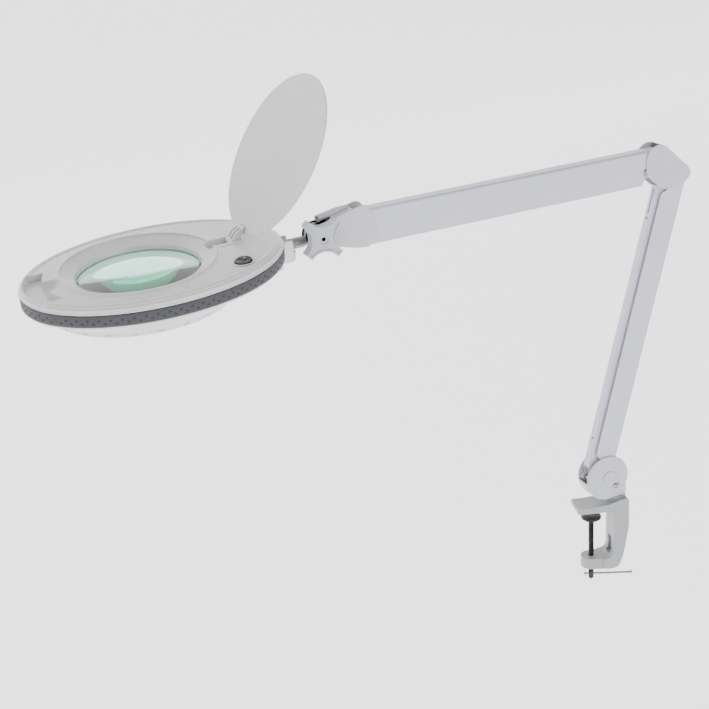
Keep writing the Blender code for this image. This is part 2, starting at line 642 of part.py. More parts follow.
def lower_housing(parent, place, mat):
    bowl = BOWL_X / MM
    profile = [(133.3, 102.1, 0, -1.6), (133.3, 102.1, 0, -12.9), (138.4, 107.2, 0, -12.9),
               (137.4, 106.4, -0.2, -15.2), (103.0, 103.0, bowl, -22.2), (100.6, 100.6, bowl, -23.0),
               (99.8, 99.8, bowl, -28.6), (95.0, 95.0, bowl, -28.6), (95.0, 95.0, bowl, -20.6),
               (67.0, 67.0, bowl, -20.6), (67.0, 67.0, bowl, -28.6), (63.4, 63.4, bowl, -28.6),
               (63.4, 63.4, bowl, -6.4), (66.4, 66.4, bowl, -6.1), (66.4, 66.4, bowl, -2.2),
               (68.8, 68.8, bowl, -2.2), (68.8, 68.8, bowl, -17.8), (97.0, 97.0, bowl, -17.8),
               (130.0, 99.0, 0, -12.6), (130.6, 99.4, 0, -1.6)]
    item = mesh_object("lower_housing", oval_shell(profile), mat, parent, place)
    gusset = box(100 * MM, SOCKET_X - 4 * MM, -9 * MM, 9 * MM, -24 * MM, -6 * MM)
    barrel = lathe([(10.6 * MM, -30 * MM), (12.0 * MM, -28.6 * MM), (12.0 * MM, -6 * MM),
                    (11.0 * MM, -5 * MM)], 24, "Z", (SOCKET_X, 0.0))
    nub = rod(3.0 * MM, -21.5 * MM, -13.6 * MM, 16, "Z", (124.0 * MM, -42.0 * MM))
    add(item, gusset, barrel, nub)
    notch = box(SOCKET_X, SOCKET_X + 20 * MM, -9.4 * MM, 9.4 * MM, -20.4 * MM, 0.0)
    cut(item, rod(9.2 * MM, -20.4 * MM, 5 * MM, 20, "Z", (SOCKET_X, 0.0)),
        rod(4.9 * MM, -26.8 * MM, -10 * MM, 14, "Z", (SOCKET_X, 0.0)), notch)
    return item


def lens(parent, place, mat):
    rings = (14.0, 32.0, 50.0, 65.5)
    edge = LENS_RADIUS
    top = []
    for radius in rings:
        rise = (edge ** 2 - (radius * MM) ** 2) / (2 * LENS_CURVE)
        top.append((radius * MM, -2.5 * MM + rise))
    low = [(radius, -8.0 * MM - height) for radius, height in top]
    bm = lathe(top + low[::-1], 36, "Z")
    return mesh_object("lens", bm, mat, parent, place)


def led_board(parent, place, mat):
    bm = tube(94.0 * MM, 68.0 * MM, -22.6 * MM, -21.0 * MM, 32)
    return mesh_object("led_board", bm, mat, parent, place)


def light_diffuser(parent, place, mat):
    bm = tube(94.3 * MM, 67.8 * MM, -27.8 * MM, -25.8 * MM, 32)
    return mesh_object("light_diffuser", bm, mat, parent, place)


def hinge_pin(parent, place, mat):
    return mesh_object("lid_hinge_pin", rod(1.5 * MM, -12.8 * MM, 12.8 * MM, 16), mat, parent, place)


def switch_bezel(parent, place, mat):
    profile = [(9.9, 1.0), (9.9, 9.3), (11.6, 9.3), (11.6, 10.0), (10.9, 10.9), (9.5, 10.9), (9.2, 10.2),
               (9.2, 3.0), (0.6, 3.0)]
    bm = lathe([(r * MM, z * MM) for r, z in profile], 22, "Z")
    return mesh_object("switch_bezel", bm, mat, parent, place)


def switch_rocker(parent, place, rotation, mat):
    profile = [(8.4, -2.4), (8.8, -1.6), (8.8, 1.6), (7.6, 2.2)]
    bm = lathe([(r * MM, z * MM) for r, z in profile], 22, "Z")
    return mesh_object("switch_rocker", bm, mat, parent, place, rotation)


def lid(parent, mat):
    centre = BOWL_X - HINGE_X
    low = 12.5 * MM - HINGE_Z
    profile = [(89.8 * MM, low), (LID_RADIUS, low + 0.8 * MM), (89.7 * MM, low + 1.8 * MM),
               (50.0 * MM, low + 2.5 * MM)]
    bm = lathe(profile, 48, "Z", (centre, 0.0))
    return mesh_object("lid", bm, mat, parent)


def lid_hinge_arm(parent, mat):
    top = 12.2 * MM - HINGE_Z
    outline = [(-20.5 * MM, top), (-20.5 * MM, top - 1.6 * MM), (-11.0 * MM, -1.8 * MM),
               (-2.4 * MM, -2.6 * MM)]
    for angle in range(-120, 61, 20):
        a = math.radians(angle)
        outline.append((3.3 * MM * math.cos(a), 3.3 * MM * math.sin(a)))
    outline.append((-7.0 * MM, top))
    item = mesh_object("lid_hinge_arm", prism(outline, -8.3 * MM, 8.3 * MM), mat, parent)
    cut(item, rod(1.8 * MM, -20 * MM, 20 * MM, 16),
        box(-16.5 * MM, -3.6 * MM, -4.9 * MM, -1.7 * MM, -10 * MM, 10 * MM),
        box(-16.5 * MM, -3.6 * MM, 1.7 * MM, 4.9 * MM, -10 * MM, 10 * MM))
    return item


# ---------------------------------------------------------------- assembly


def build_clamp(mats):
    frame = empty("clamp_axis", None, (0.0, 0.0, 0.0), (0.0, 0.0, CLAMP_TURN))
    clamp_frame(frame, mats["cast"])
    clamp_pad(frame, mats["black"])
    clamp_screw(frame, mats["dark_steel"])
    bar = empty("tommy_axis", frame, (0.0, 0.0, TOMMY_HEIGHT), (0.0, 0.0, TOMMY_TURN))
    tommy_bar(bar, mats["steel"])


def build_base(arm, mats):
    swivel_pin(arm, mats["steel"])
    base_bracket(arm, mats["cover"])
    base_cover_front(arm, mats["cover"])
    base_cover_back(arm, mats["cover"])
    base_screw(arm, mats["steel"])
    pivot_pin("base_pin_outer", arm, BASE_OUTER_PIVOT, 10.3 * MM, mats["steel"])
    pivot_pin("base_pin_inner", arm, BASE_INNER_PIVOT, 9.6 * MM, mats["steel"])


def build_arms(arm, mats):
    upper_lean = -math.pi / 2 - UPPER_DROP
    outer_channel("lower_outer_channel", arm, BASE_OUTER_PIVOT, LOWER_LEAN, mats["arm"])
    item = inner_channel("lower_inner_channel", arm, BASE_INNER_PIVOT, LOWER_LEAN, INNER_FACE, 16 * MM,
                         mats["arm"])
    slot_and_holes(item, [(334 * MM, 365 * MM)], [329 * MM, 52 * MM])
    outer_channel("upper_outer_channel", arm, ELBOW_UPPER_OUTER, upper_lean, mats["arm"])
    inner_channel("upper_inner_channel", arm, ELBOW_UPPER_INNER, upper_lean, UPPER_INNER_FACE, 14 * MM,
                  mats["arm"])
    arm_spring("lower_spring", arm, BASE_OUTER_PIVOT, LOWER_LEAN, mats["steel"])
    arm_spring("upper_spring", arm, ELBOW_UPPER_OUTER, upper_lean, mats["steel"])


def build_elbow(arm, mats):
    elbow_bracket(arm, mats["dark_steel"])
    elbow_cover("elbow_cover_front", arm, -COVER_OUTER_Y, -COVER_INNER_Y, mats["cover"])
    back = elbow_cover("elbow_cover_back", arm, COVER_INNER_Y, COVER_OUTER_Y, mats["cover"])
    elbow_skirt(back)
    pivot_pin("elbow_pin_lower_outer", arm, ELBOW_LOWER_OUTER, 10.3 * MM, mats["steel"])
    pivot_pin("elbow_pin_lower_inner", arm, ELBOW_LOWER_INNER, 9.6 * MM, mats["steel"])
    pivot_pin("elbow_pin_upper_outer", arm, ELBOW_UPPER_OUTER, 10.3 * MM, mats["steel"])
    pivot_pin("elbow_pin_upper_inner", arm, ELBOW_UPPER_INNER, 9.6 * MM, mats["steel"])


def build_wrist(arm, mats):
    wrist_bracket(arm, mats["dark_steel"])
    wrist_cover("wrist_cover_front", arm, -COVER_OUTER_Y, -COVER_INNER_Y, mats["cover"])
    wrist_cover("wrist_cover_back", arm, COVER_INNER_Y, COVER_OUTER_Y, mats["cover"])
    wrist_roof(arm, mats["cover"])
    pivot_pin("wrist_pin_outer", arm, WRIST_OUTER, 10.3 * MM, mats["steel"])
    pivot_pin("wrist_pin_inner", arm, WRIST_INNER, 9.6 * MM, mats["steel"])
    friction_ring("friction_ring_front", arm, -6.6 * MM, -5.5 * MM, mats["black"])
    friction_ring("friction_ring_back", arm, 5.5 * MM, 6.6 * MM, mats["black"])
    tilt_bolt(arm, mats["steel"])
    tilt_knob(arm, mats["knob"])


def build_head(arm, mats):
    tilt_eye(arm, mats["cast"])
    stem = empty("stem_axis", arm, (STEM_END[0], 0.0, STEM_END[1]), (0.0, HEAD_TILT, 0.0))
    roll = empty("head_roll_axis", stem, (0.0, 0.0, 0.0), (HEAD_ROLL, 0.0, 0.0))
    head_stem(roll, mats["dark_steel"])
    head = empty("head_axis", roll, (0.0, 0.0, 0.0), (0.0, 0.0, HEAD_YAW))
    place = (-SOCKET_X, 0.0, STEM_DROP)
    upper_housing(head, place, mats["shell"])
    bumper_ring(head, place, mats["grey"])
    lower_housing(head, place, mats["shell"])
    lens_place = (BOWL_X - SOCKET_X, 0.0, STEM_DROP)
    lens(head, lens_place, mats["glass"])
    led_board(head, lens_place, mats["board"])
    light_diffuser(head, lens_place, mats["diffuser"])
    hinge_at = (HINGE_X - SOCKET_X, 0.0, HINGE_Z + STEM_DROP)
    hinge_pin(head, hinge_at, mats["steel"])
    switch_at = (SWITCH_AT[0] - SOCKET_X, SWITCH_AT[1], STEM_DROP)
    switch_bezel(head, switch_at, mats["shell"])
    rocker_at = (switch_at[0], switch_at[1], STEM_DROP + 9.0 * MM)
    switch_rocker(head, rocker_at, (math.radians(6), 0.0, math.radians(-41)), mats["black"])
    hinge = empty("lid_axis", head, hinge_at, (0.0, LID_OPEN, 0.0))
    lid(hinge, mats["lid"])
    lid_hinge_arm(hinge, mats["shell"])


def main():
    clear_scene()
    mats = {
        "arm": material("white_paint", (0.78, 0.78, 0.84), 0.4),
        "cover": material("cover_plastic", (0.76, 0.76, 0.80), 0.45),
        "shell": material("white_plastic", (0.86, 0.86, 0.86), 0.3),
        "cast": material("cast_paint", (0.66, 0.67, 0.69), 0.45),
        "knob": material("knob_plastic", (0.72, 0.72, 0.78), 0.45),
        "grey": material("grey_rubber", (0.13, 0.14, 0.16), 0.6),
        "black": material("black_plastic", (0.02, 0.02, 0.02), 0.4),
        "dark_steel": material("dark_steel", (0.12, 0.12, 0.12), 0.4, 0.8),
        "steel": material("bright_steel", (0.6, 0.6, 0.6), 0.3, 1.0),
        "glass": material("lens_glass", (0.85, 0.97, 0.93), 0.02, 0.0, 1.0),
        "board": material("led_board_mask", (0.85, 0.86, 0.84), 0.5),
        "diffuser": material("diffuser_plastic", (0.9, 0.9, 0.9), 0.4, 0.0, 0.4),
        "lid": material("lid_plastic", (0.84, 0.84, 0.83), 0.4),
    }
    build_clamp(mats)
    swivel = Vector((SWIVEL_X * math.cos(CLAMP_TURN), SWIVEL_X * math.sin(CLAMP_TURN), 0.0))
    arm = empty("arm_frame", None, (swivel.x - DRUM_TO_SWIVEL, swivel.y, DRUM_HEIGHT))
    build_base(arm, mats)
    build_arms(arm, mats)
    build_elbow(arm, mats)
    build_wrist(arm, mats)
    build_head(arm, mats)
    bpy.context.view_layer.update()


main()
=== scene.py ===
"""Looks of the clamp-on magnifying lamp: finer meshes, materials, floor, lights and camera.

Shapes are built in millimetres, each in the local frame of its own mechanism, and then placed in metres.
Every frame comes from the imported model's joints.
"""

import json
import math

import bmesh
import bpy
from mathutils import Matrix, Vector


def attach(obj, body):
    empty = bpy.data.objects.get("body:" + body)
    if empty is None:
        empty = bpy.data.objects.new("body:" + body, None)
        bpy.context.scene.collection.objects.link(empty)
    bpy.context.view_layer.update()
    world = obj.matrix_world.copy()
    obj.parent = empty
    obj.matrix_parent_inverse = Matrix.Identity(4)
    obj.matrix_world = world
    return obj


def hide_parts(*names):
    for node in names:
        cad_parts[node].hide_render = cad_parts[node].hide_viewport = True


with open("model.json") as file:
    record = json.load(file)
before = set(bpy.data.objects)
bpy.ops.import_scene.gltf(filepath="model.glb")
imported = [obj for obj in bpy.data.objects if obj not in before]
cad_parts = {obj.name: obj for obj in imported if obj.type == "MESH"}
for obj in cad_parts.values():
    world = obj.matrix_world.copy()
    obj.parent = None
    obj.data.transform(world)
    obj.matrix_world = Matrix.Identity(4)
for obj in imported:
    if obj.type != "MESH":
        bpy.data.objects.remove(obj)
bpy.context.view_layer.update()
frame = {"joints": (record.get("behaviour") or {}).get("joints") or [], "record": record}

JOINTS = {joint["name"]: joint for joint in frame["joints"]}
BODIES = frame["record"]["behaviour"]["bodies"]
BODY_OF = {node: body for body, members in BODIES.items() for node in members}
SLOT_OF = {entry["node"]: entry["material_slot"] for entry in frame["record"]["subparts"]}
MM = Matrix.Scale(0.001, 4)

# sizes in millimetres
PLATE_HALF_WIDTH = 16.5
SCREW_RADIUS = 3.5
SCREW_BOTTOM = -97.9
THREAD_PITCH = 1.5
TOMMY_HEIGHT = -91.3
SWIVEL_X = 32.4
DRUM_TO_SWIVEL = 19.0
COVER_INNER = 10.6
COVER_OUTER = 12.25
CHEEK_INNER = 6.9
CHEEK_OUTER = 8.6
PIN_RADIUS = 2.4
RIVET_HOLE = 2.75
BOLT_HOLE = 3.4
OUTER_REACH = 10.4
INNER_REACH = 10.0
ARM_LENGTH = 384.0
ARM_PAST_END = ARM_LENGTH + 20
DRUM_SCREW = (11.1, -11.8)
SOCKET_X = 146.0
STEM_DROP = 12.8
BOWL_X = -16.1
HINGE_X = 87.0
HINGE_Z = 7.2
LID_RADIUS = 90.3
LID_OPEN = math.radians(124.0)
ROCKER_TILT = math.radians(6.0)
SWITCH_AT = (75.7, -66.1)
HEAD_SEGMENTS = 176
LED_COUNT = 60
LED_RADIUS = 81.0
VENT_COUNT = 24
FLOOR = -0.30  # metres


# frames


def joint_point(name):
    return Vector(JOINTS[name]["pos_m"])


def joint_axis(name):
    return Vector(JOINTS[name]["axis"]).normalized()


def basis(x, y, z, origin):
    """Millimetre coordinates along three unit axes, placed at an origin in metres."""
    turned = Matrix((x, y, z)).transposed().to_4x4()
    return Matrix.Translation(origin) @ turned @ MM


def arm_basis(start, end, origin=None):
    along = (joint_point(end) - joint_point(start)).normalized()
    across = Vector((0.0, 1.0, 0.0))
    return basis(across.cross(along), across, along, joint_point(origin or start))


X, Y, Z = Vector((1, 0, 0)), Vector((0, 1, 0)), Vector((0, 0, 1))
clamp_x = Vector((joint_point("base_swivel").x, joint_point("base_swivel").y, 0.0)).normalized()
CLAMP = basis(clamp_x, Z.cross(clamp_x), Z, Vector((0, 0, 0)))
bar_x = joint_axis("tommy_slide")
SCREW = basis(bar_x, Z.cross(bar_x), Z, Vector((0, 0, 0)))
ARM = basis(X, Y, Z, joint_point("lower_arm_hinge"))
LOWER = arm_basis("lower_arm_hinge", "elbow_hinge")
LOWER_LINK = arm_basis("lower_arm_hinge", "elbow_hinge", "lower_link_hinge")
UPPER = arm_basis("upper_arm_hinge", "wrist_hinge")
UPPER_LINK = arm_basis("upper_arm_hinge", "wrist_hinge", "upper_link_hinge")
TILT = basis(X, Y, Z, joint_point("head_tilt"))
head_z = joint_axis("head_yaw")
head_y = joint_axis("lid_hinge")
head_x = head_y.cross(head_z).normalized()
head_origin = joint_point("head_yaw") + 0.001 * (STEM_DROP * head_z - SOCKET_X * head_x)
HEAD = basis(head_x, head_y, head_z, head_origin)
LENS = HEAD @ Matrix.Translation((BOWL_X, 0.0, 0.0))
SWITCH = HEAD @ Matrix.Translation((*SWITCH_AT, 0.0))
HINGE = HEAD @ Matrix.Translation((HINGE_X, 0.0, HINGE_Z))
LID = HINGE @ Matrix.Rotation(LID_OPEN, 4, "Y")
stem_x = joint_axis("head_roll")
STEM = basis(stem_x, head_z.cross(stem_x).normalized(), head_z, joint_point("head_roll"))
rocker_x = joint_axis("switch_rock")
rocker_z = Matrix.Rotation(ROCKER_TILT, 3, rocker_x) @ head_z
rocker_z = (rocker_z - rocker_z.dot(rocker_x) * rocker_x).normalized()
ROCKER = basis(rocker_x, rocker_z.cross(rocker_x), rocker_z, joint_point("switch_rock"))


def in_arm(joint):
    """A joint's (x, z) in the arm frame, in millimetres."""
    point = ARM.inverted() @ joint_point(joint)
    return (point.x, point.z)


BASE_OUTER = (0.0, 0.0)
BASE_INNER = in_arm("lower_link_hinge")
ELBOW_LOWER_OUTER = in_arm("elbow_hinge")
ELBOW_LOWER_INNER = (ELBOW_LOWER_OUTER[0] + BASE_INNER[0], ELBOW_LOWER_OUTER[1] + BASE_INNER[1])
ELBOW_UPPER_OUTER = in_arm("upper_arm_hinge")
ELBOW_UPPER_INNER = in_arm("upper_link_hinge")
WRIST_OUTER = in_arm("wrist_hinge")
WRIST_INNER = (WRIST_OUTER[0] + ELBOW_UPPER_INNER[0] - ELBOW_UPPER_OUTER[0],
               WRIST_OUTER[1] + ELBOW_UPPER_INNER[1] - ELBOW_UPPER_OUTER[1])
TILT_AXIS = in_arm("head_tilt")


# outlines


def rounded(points, radius, steps=4, closed=True):
    """Replace each real corner of a polyline by a short curve."""
    result = []
    count = len(points)
    for i, point in enumerate(points):
        here = Vector(point)
        if not closed and i in (0, count - 1):
            result.append(tuple(here))
            continue
        back = Vector(points[i - 1]) - here
        ahead = Vector(points[(i + 1) % count]) - here
        cosine = max(-1.0, min(1.0, back.dot(ahead) / (back.length * ahead.length)))
        bend = math.pi - math.acos(cosine)
        if bend < math.radians(14):
            result.append(tuple(here))
            continue
        reach = min(radius * math.tan(bend / 2), 0.47 * back.length, 0.47 * ahead.length)
        start = here + back.normalized() * reach
        end = here + ahead.normalized() * reach
        for k in range(steps + 1):
            t = k / steps
            result.append(tuple((1 - t) ** 2 * start + 2 * t * (1 - t) * here + t * t * end))
    return result


def circle(radius, count=48, centre=(0.0, 0.0)):
    step = 2.0 * math.pi / count
    return [(centre[0] + radius * math.cos(i * step), centre[1] + radius * math.sin(i * step))
            for i in range(count)]


def arc(radius, angles):
    """Points on a circle about the origin, at angles in degrees."""
    return [(radius * math.cos(a), radius * math.sin(a)) for a in map(math.radians, angles)]


def hull(discs, count=64):
    """Convex outline around a set of (x, y, radius) discs."""
    points = []
    for x, y, radius in discs:
        points += circle(radius, count, (x, y))
    points = sorted(set((round(x, 6), round(y, 6)) for x, y in points))

    def turn(a, b, c):
        return (b[0] - a[0]) * (c[1] - a[1]) - (b[1] - a[1]) * (c[0] - a[0])

    def half(ordered):
        chain = []
        for p in ordered:
            while len(chain) > 1 and turn(chain[-2], chain[-1], p) <= 1e-9:
                chain.pop()
            chain.append(p)
        return chain[:-1]

    return half(points) + half(points[::-1])


# solids


def loft(rings, closed=False):
    """Skin a list of equal point rings; closed joins last to first, else both ends are capped."""
    bm = bmesh.new()
    rows = [[bm.verts.new(p) for p in ring] for ring in rings]
    count = len(rows[0])
    pairs = list(zip(rows, rows[1:]))
    if closed:
        pairs.append((rows[-1], rows[0]))
    for low, high in pairs:
        for i in range(count):
            j = (i + 1) % count
            bm.faces.new((low[i], low[j], high[j], high[i]))
    if not closed:
        bm.faces.new(rows[0])
        bm.faces.new(rows[-1])
    bmesh.ops.recalc_face_normals(bm, faces=bm.faces)
    return bm


def prism(outline, near, far, axis="Y"):
    if axis == "Y":
        return loft([[(x, d, z) for x, z in outline] for d in (near, far)])
    return loft([[(x, y, d) for x, y in outline] for d in (near, far)])


def box(x0, x1, y0, y1, z0, z1, radius=0.0):
    outline = [(x0, z0), (x1, z0), (x1, z1), (x0, z1)]
    if radius:
        outline = rounded(outline, radius)
    return prism(outline, y0, y1)


def spun(profile, count, axis, centre):
    rings = []
    for radius, height in profile:
        ring = circle(radius, count, centre)
        if axis == "Z":
            rings.append([(a, b, height) for a, b in ring])
        elif axis == "Y":
            rings.append([(a, height, b) for a, b in ring])
        else:
            rings.append([(height, a, b) for a, b in ring])
    return rings


def rod(radius, start, end, count=40, axis="Y", centre=(0.0, 0.0)):
    return loft(spun([(radius, start), (radius, end)], count, axis, centre))


def cross_hole(radius, centre=(0.0, 0.0)):
    """Cutter for a hole along Y through a whole joint."""
    return rod(radius, -20, 20, 40, "Y", centre)


def lathe(profile, count=48, axis="Z", centre=(0.0, 0.0), radius=0.0):
    """Solid of revolution with flat ends; radius rounds the profile's corners."""
    if radius:
        profile = rounded(profile, radius, 3, closed=False)
    return loft(spun(profile, count, axis, centre))


def tube(profile, count=64, axis="Z", centre=(0.0, 0.0), radius=0.0):
    """Ring-shaped solid from a closed (radius, height) section."""
    if radius:
        profile = rounded(profile, radius, 3)
    return loft(spun(profile, count, axis, centre), closed=True)


def oval_shell(profile, radius, count=HEAD_SEGMENTS):
    """Closed ring-shaped body from (semi-axis x, semi-axis y, centre x, height) steps."""
    step = 2.0 * math.pi / count
    rings = []
    for a, b, cx, z in rounded(profile, radius, 3):
        rings.append([(cx + a * math.cos(i * step), b * math.sin(i * step), z) for i in range(count)])
    return loft(rings, closed=True)


def temporary(name, bm):
    mesh = bpy.data.meshes.new(name)
    bm.to_mesh(mesh)
    bm.free()
    item = bpy.data.objects.new(name, mesh)
    bpy.context.scene.collection.objects.link(item)
    return item


def bevel_step(item, width, segments):
    step = item.modifiers.new("bevel", "BEVEL")
    step.width = width
    step.segments = segments
    step.limit_method = "ANGLE"
    step.angle_limit = math.radians(38)
    step.harden_normals = False


def shape(bm, adds=(), cuts=(), first_bevel=0.0, bevel=0.0, segments=2):
    """Apply unions, cuts and edge rounding, and give back one mesh in millimetres."""
    item = temporary("work", bm)
    helpers = []
    if first_bevel:
        bevel_step(item, first_bevel, 4)
    for operation, solids in (("UNION", adds), ("DIFFERENCE", cuts)):
        for tool in solids:
            helper = temporary("tool", tool)
            helpers.append(helper)
            step = item.modifiers.new("boolean", "BOOLEAN")
            step.operation = operation
            step.solver = "EXACT"
            step.object = helper
    if bevel:
        bevel_step(item, bevel, segments)
    graph = bpy.context.evaluated_depsgraph_get()
    mesh = bpy.data.meshes.new_from_object(item.evaluated_get(graph))
    for helper in helpers + [item]:
        data = helper.data
        bpy.data.objects.remove(helper)
        bpy.data.meshes.remove(data)
    return mesh


def add_mesh(bm, mesh):
    """Move a mesh's faces into a bmesh."""
    bm.from_mesh(mesh)
    bpy.data.meshes.remove(mesh)


def piece(name, node, place, mesh, mat=None, sharp=32.0, stands_for=True):
    """A finished piece that rides with a CAD node's body and takes that node's slot."""
    if isinstance(mesh, bmesh.types.BMesh):
        mesh = shape(mesh)
    mesh.transform(place)
    mesh.shade_smooth()
    mesh.set_sharp_from_angle(angle=math.radians(sharp))
    mesh.materials.clear()
    mesh.materials.append(mat or MATERIALS[SLOT_OF[node]])
    item = bpy.data.objects.new(name, mesh)
    bpy.context.scene.collection.objects.link(item)
    even = item.modifiers.new("even_normals", "WEIGHTED_NORMAL")
    even.keep_sharp = True
    even.weight = 60
    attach(item, BODY_OF[node])
    if stands_for:
        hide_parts(node)
    return item


# materials


def new_material(name):
    mat = bpy.data.materials.new(name)
    mat.use_nodes = True
    nodes = mat.node_tree.nodes
    links = mat.node_tree.links
    shader = nodes["Principled BSDF"]
    coords = nodes.new("ShaderNodeTexCoord")
    return mat, nodes, links, shader, coords.outputs["Object"]


def noise(nodes, links, coords, scale, detail=3.0, stretch=None):
    if stretch:
        mapping = nodes.new("ShaderNodeMapping")
        mapping.inputs["Scale"].default_value = stretch
        links.new(coords, mapping.inputs["Vector"])
        coords = mapping.outputs["Vector"]
    tex = nodes.new("ShaderNodeTexNoise")
    tex.inputs["Scale"].default_value = scale
    tex.inputs["Detail"].default_value = detail
    links.new(coords, tex.inputs["Vector"])
    return tex.outputs["Fac"]


def ramp(nodes, links, value, low, high, first, last):
    """Map a value between low and high onto two colours."""
    node = nodes.new("ShaderNodeValToRGB")
    node.color_ramp.elements[0].position = low
    node.color_ramp.elements[1].position = high
    node.color_ramp.elements[0].color = (*first, 1.0)
    node.color_ramp.elements[1].color = (*last, 1.0)
    links.new(value, node.inputs["Fac"])
    return node.outputs["Color"]


def remap(nodes, links, value, first, last):
    node = nodes.new("ShaderNodeMapRange")
    node.inputs["From Min"].default_value = 0.3
    node.inputs["From Max"].default_value = 0.7
    node.inputs["To Min"].default_value = first
    node.inputs["To Max"].default_value = last
    links.new(value, node.inputs["Value"])
    return node.outputs["Result"]


def bump(nodes, links, shader, height, strength, distance):
    node = nodes.new("ShaderNodeBump")
    node.inputs["Strength"].default_value = strength
    node.inputs["Distance"].default_value = distance
    links.new(height, node.inputs["Height"])
    links.new(node.outputs["Normal"], shader.inputs["Normal"])


def finish(name, color, roughness, metallic=0.0, shift=0.03, grain=900.0, depth=0.00004, strength=0.25,
           stretch=None, spread=0.05, coat=0.0, specular=0.5):
    """Plain surface with slow colour drift, uneven gloss and a fine relief."""
    mat, nodes, links, shader, coords = new_material(name)
    dark = tuple(c * (1.0 - shift) for c in color)
    slow = noise(nodes, links, coords, 22.0, 3.0)
    links.new(ramp(nodes, links, slow, 0.35, 0.65, dark, color), shader.inputs["Base Color"])
    patch = noise(nodes, links, coords, 120.0, 4.0, stretch)
    links.new(remap(nodes, links, patch, roughness - spread, roughness + spread), shader.inputs["Roughness"])
    fine = noise(nodes, links, coords, grain, 2.0, stretch)
    bump(nodes, links, shader, fine, strength, depth)
    shader.inputs["Metallic"].default_value = metallic
    shader.inputs["Coat Weight"].default_value = coat
    shader.inputs["Coat Roughness"].default_value = 0.2
    shader.inputs["Specular IOR Level"].default_value = specular
    return mat


def rubber():
    """Soft moulded rubber with a fine spark-eroded grain."""
    mat, nodes, links, shader, coords = new_material("bumper_rubber")
    slow = noise(nodes, links, coords, 30.0)
    links.new(ramp(nodes, links, slow, 0.3, 0.7, (0.040, 0.042, 0.049), (0.054, 0.057, 0.065)),
              shader.inputs["Base Color"])
    cells = nodes.new("ShaderNodeTexVoronoi")
    cells.inputs["Scale"].default_value = 2200.0
    links.new(coords, cells.inputs["Vector"])
    links.new(remap(nodes, links, slow, 0.5, 0.62), shader.inputs["Roughness"])
    bump(nodes, links, shader, cells.outputs["Distance"], 0.3, 0.00006)
    shader.inputs["Specular IOR Level"].default_value = 0.4
    return mat


def glass():
    """Thick green-tinted optical glass with faint polishing marks."""
    mat, nodes, links, shader, coords = new_material("tinted_glass")
    marks = noise(nodes, links, coords, 60.0, 5.0)
    links.new(remap(nodes, links, marks, 0.0, 0.012), shader.inputs["Roughness"])
    shader.inputs["Base Color"].default_value = (0.93, 1.0, 0.97, 1.0)
    shader.inputs["Transmission Weight"].default_value = 1.0
    shader.inputs["IOR"].default_value = 1.52
    bump(nodes, links, shader, marks, 0.05, 0.00001)
    depth = nodes.new("ShaderNodeVolumeAbsorption")
    depth.inputs["Color"].default_value = (0.03, 0.74, 0.58, 1.0)
    depth.inputs["Density"].default_value = 34.0
    links.new(depth.outputs["Volume"], nodes["Material Output"].inputs["Volume"])
    return mat


def frosted():
    """Translucent moulded ring with fine radial ribs."""
    mat, nodes, links, shader, coords = new_material("frosted_plastic")
    waves = nodes.new("ShaderNodeTexWave")
    waves.wave_type = "RINGS"
    waves.rings_direction = "Z"
    waves.inputs["Scale"].default_value = 260.0
    links.new(coords, waves.inputs["Vector"])
    cloud = noise(nodes, links, coords, 40.0)
    links.new(ramp(nodes, links, cloud, 0.3, 0.7, (0.86, 0.87, 0.87), (0.93, 0.93, 0.92)),
              shader.inputs["Base Color"])
    links.new(remap(nodes, links, cloud, 0.3, 0.45), shader.inputs["Roughness"])
    shader.inputs["Transmission Weight"].default_value = 0.55
    bump(nodes, links, shader, waves.outputs["Fac"], 0.2, 0.0001)
    return mat


def circuit_board():
    """White solder mask with faint copper tracks under it."""
    mat, nodes, links, shader, coords = new_material("solder_mask")
    tracks = nodes.new("ShaderNodeTexBrick")
    tracks.inputs["Scale"].default_value = 120.0
    tracks.inputs["Color1"].default_value = (0.80, 0.82, 0.79, 1.0)
    tracks.inputs["Color2"].default_value = (0.84, 0.85, 0.83, 1.0)
    tracks.inputs["Mortar"].default_value = (0.70, 0.73, 0.69, 1.0)
    links.new(coords, tracks.inputs["Vector"])
    links.new(tracks.outputs["Color"], shader.inputs["Base Color"])
    links.new(remap(nodes, links, tracks.outputs["Fac"], 0.4, 0.5), shader.inputs["Roughness"])
    bump(nodes, links, shader, tracks.outputs["Fac"], 0.2, 0.00003)
    return mat


def steel(name, color, roughness, stretch):
    return finish(name, color, roughness, 1.0, 0.12, 600.0, 0.00002, 0.35, stretch, 0.08)


def glow(mat, color, strength):
    inputs = mat.node_tree.nodes["Principled BSDF"].inputs
    inputs["Emission Color"].default_value = (*color, 1.0)
    inputs["Emission Strength"].default_value = strength
    return mat


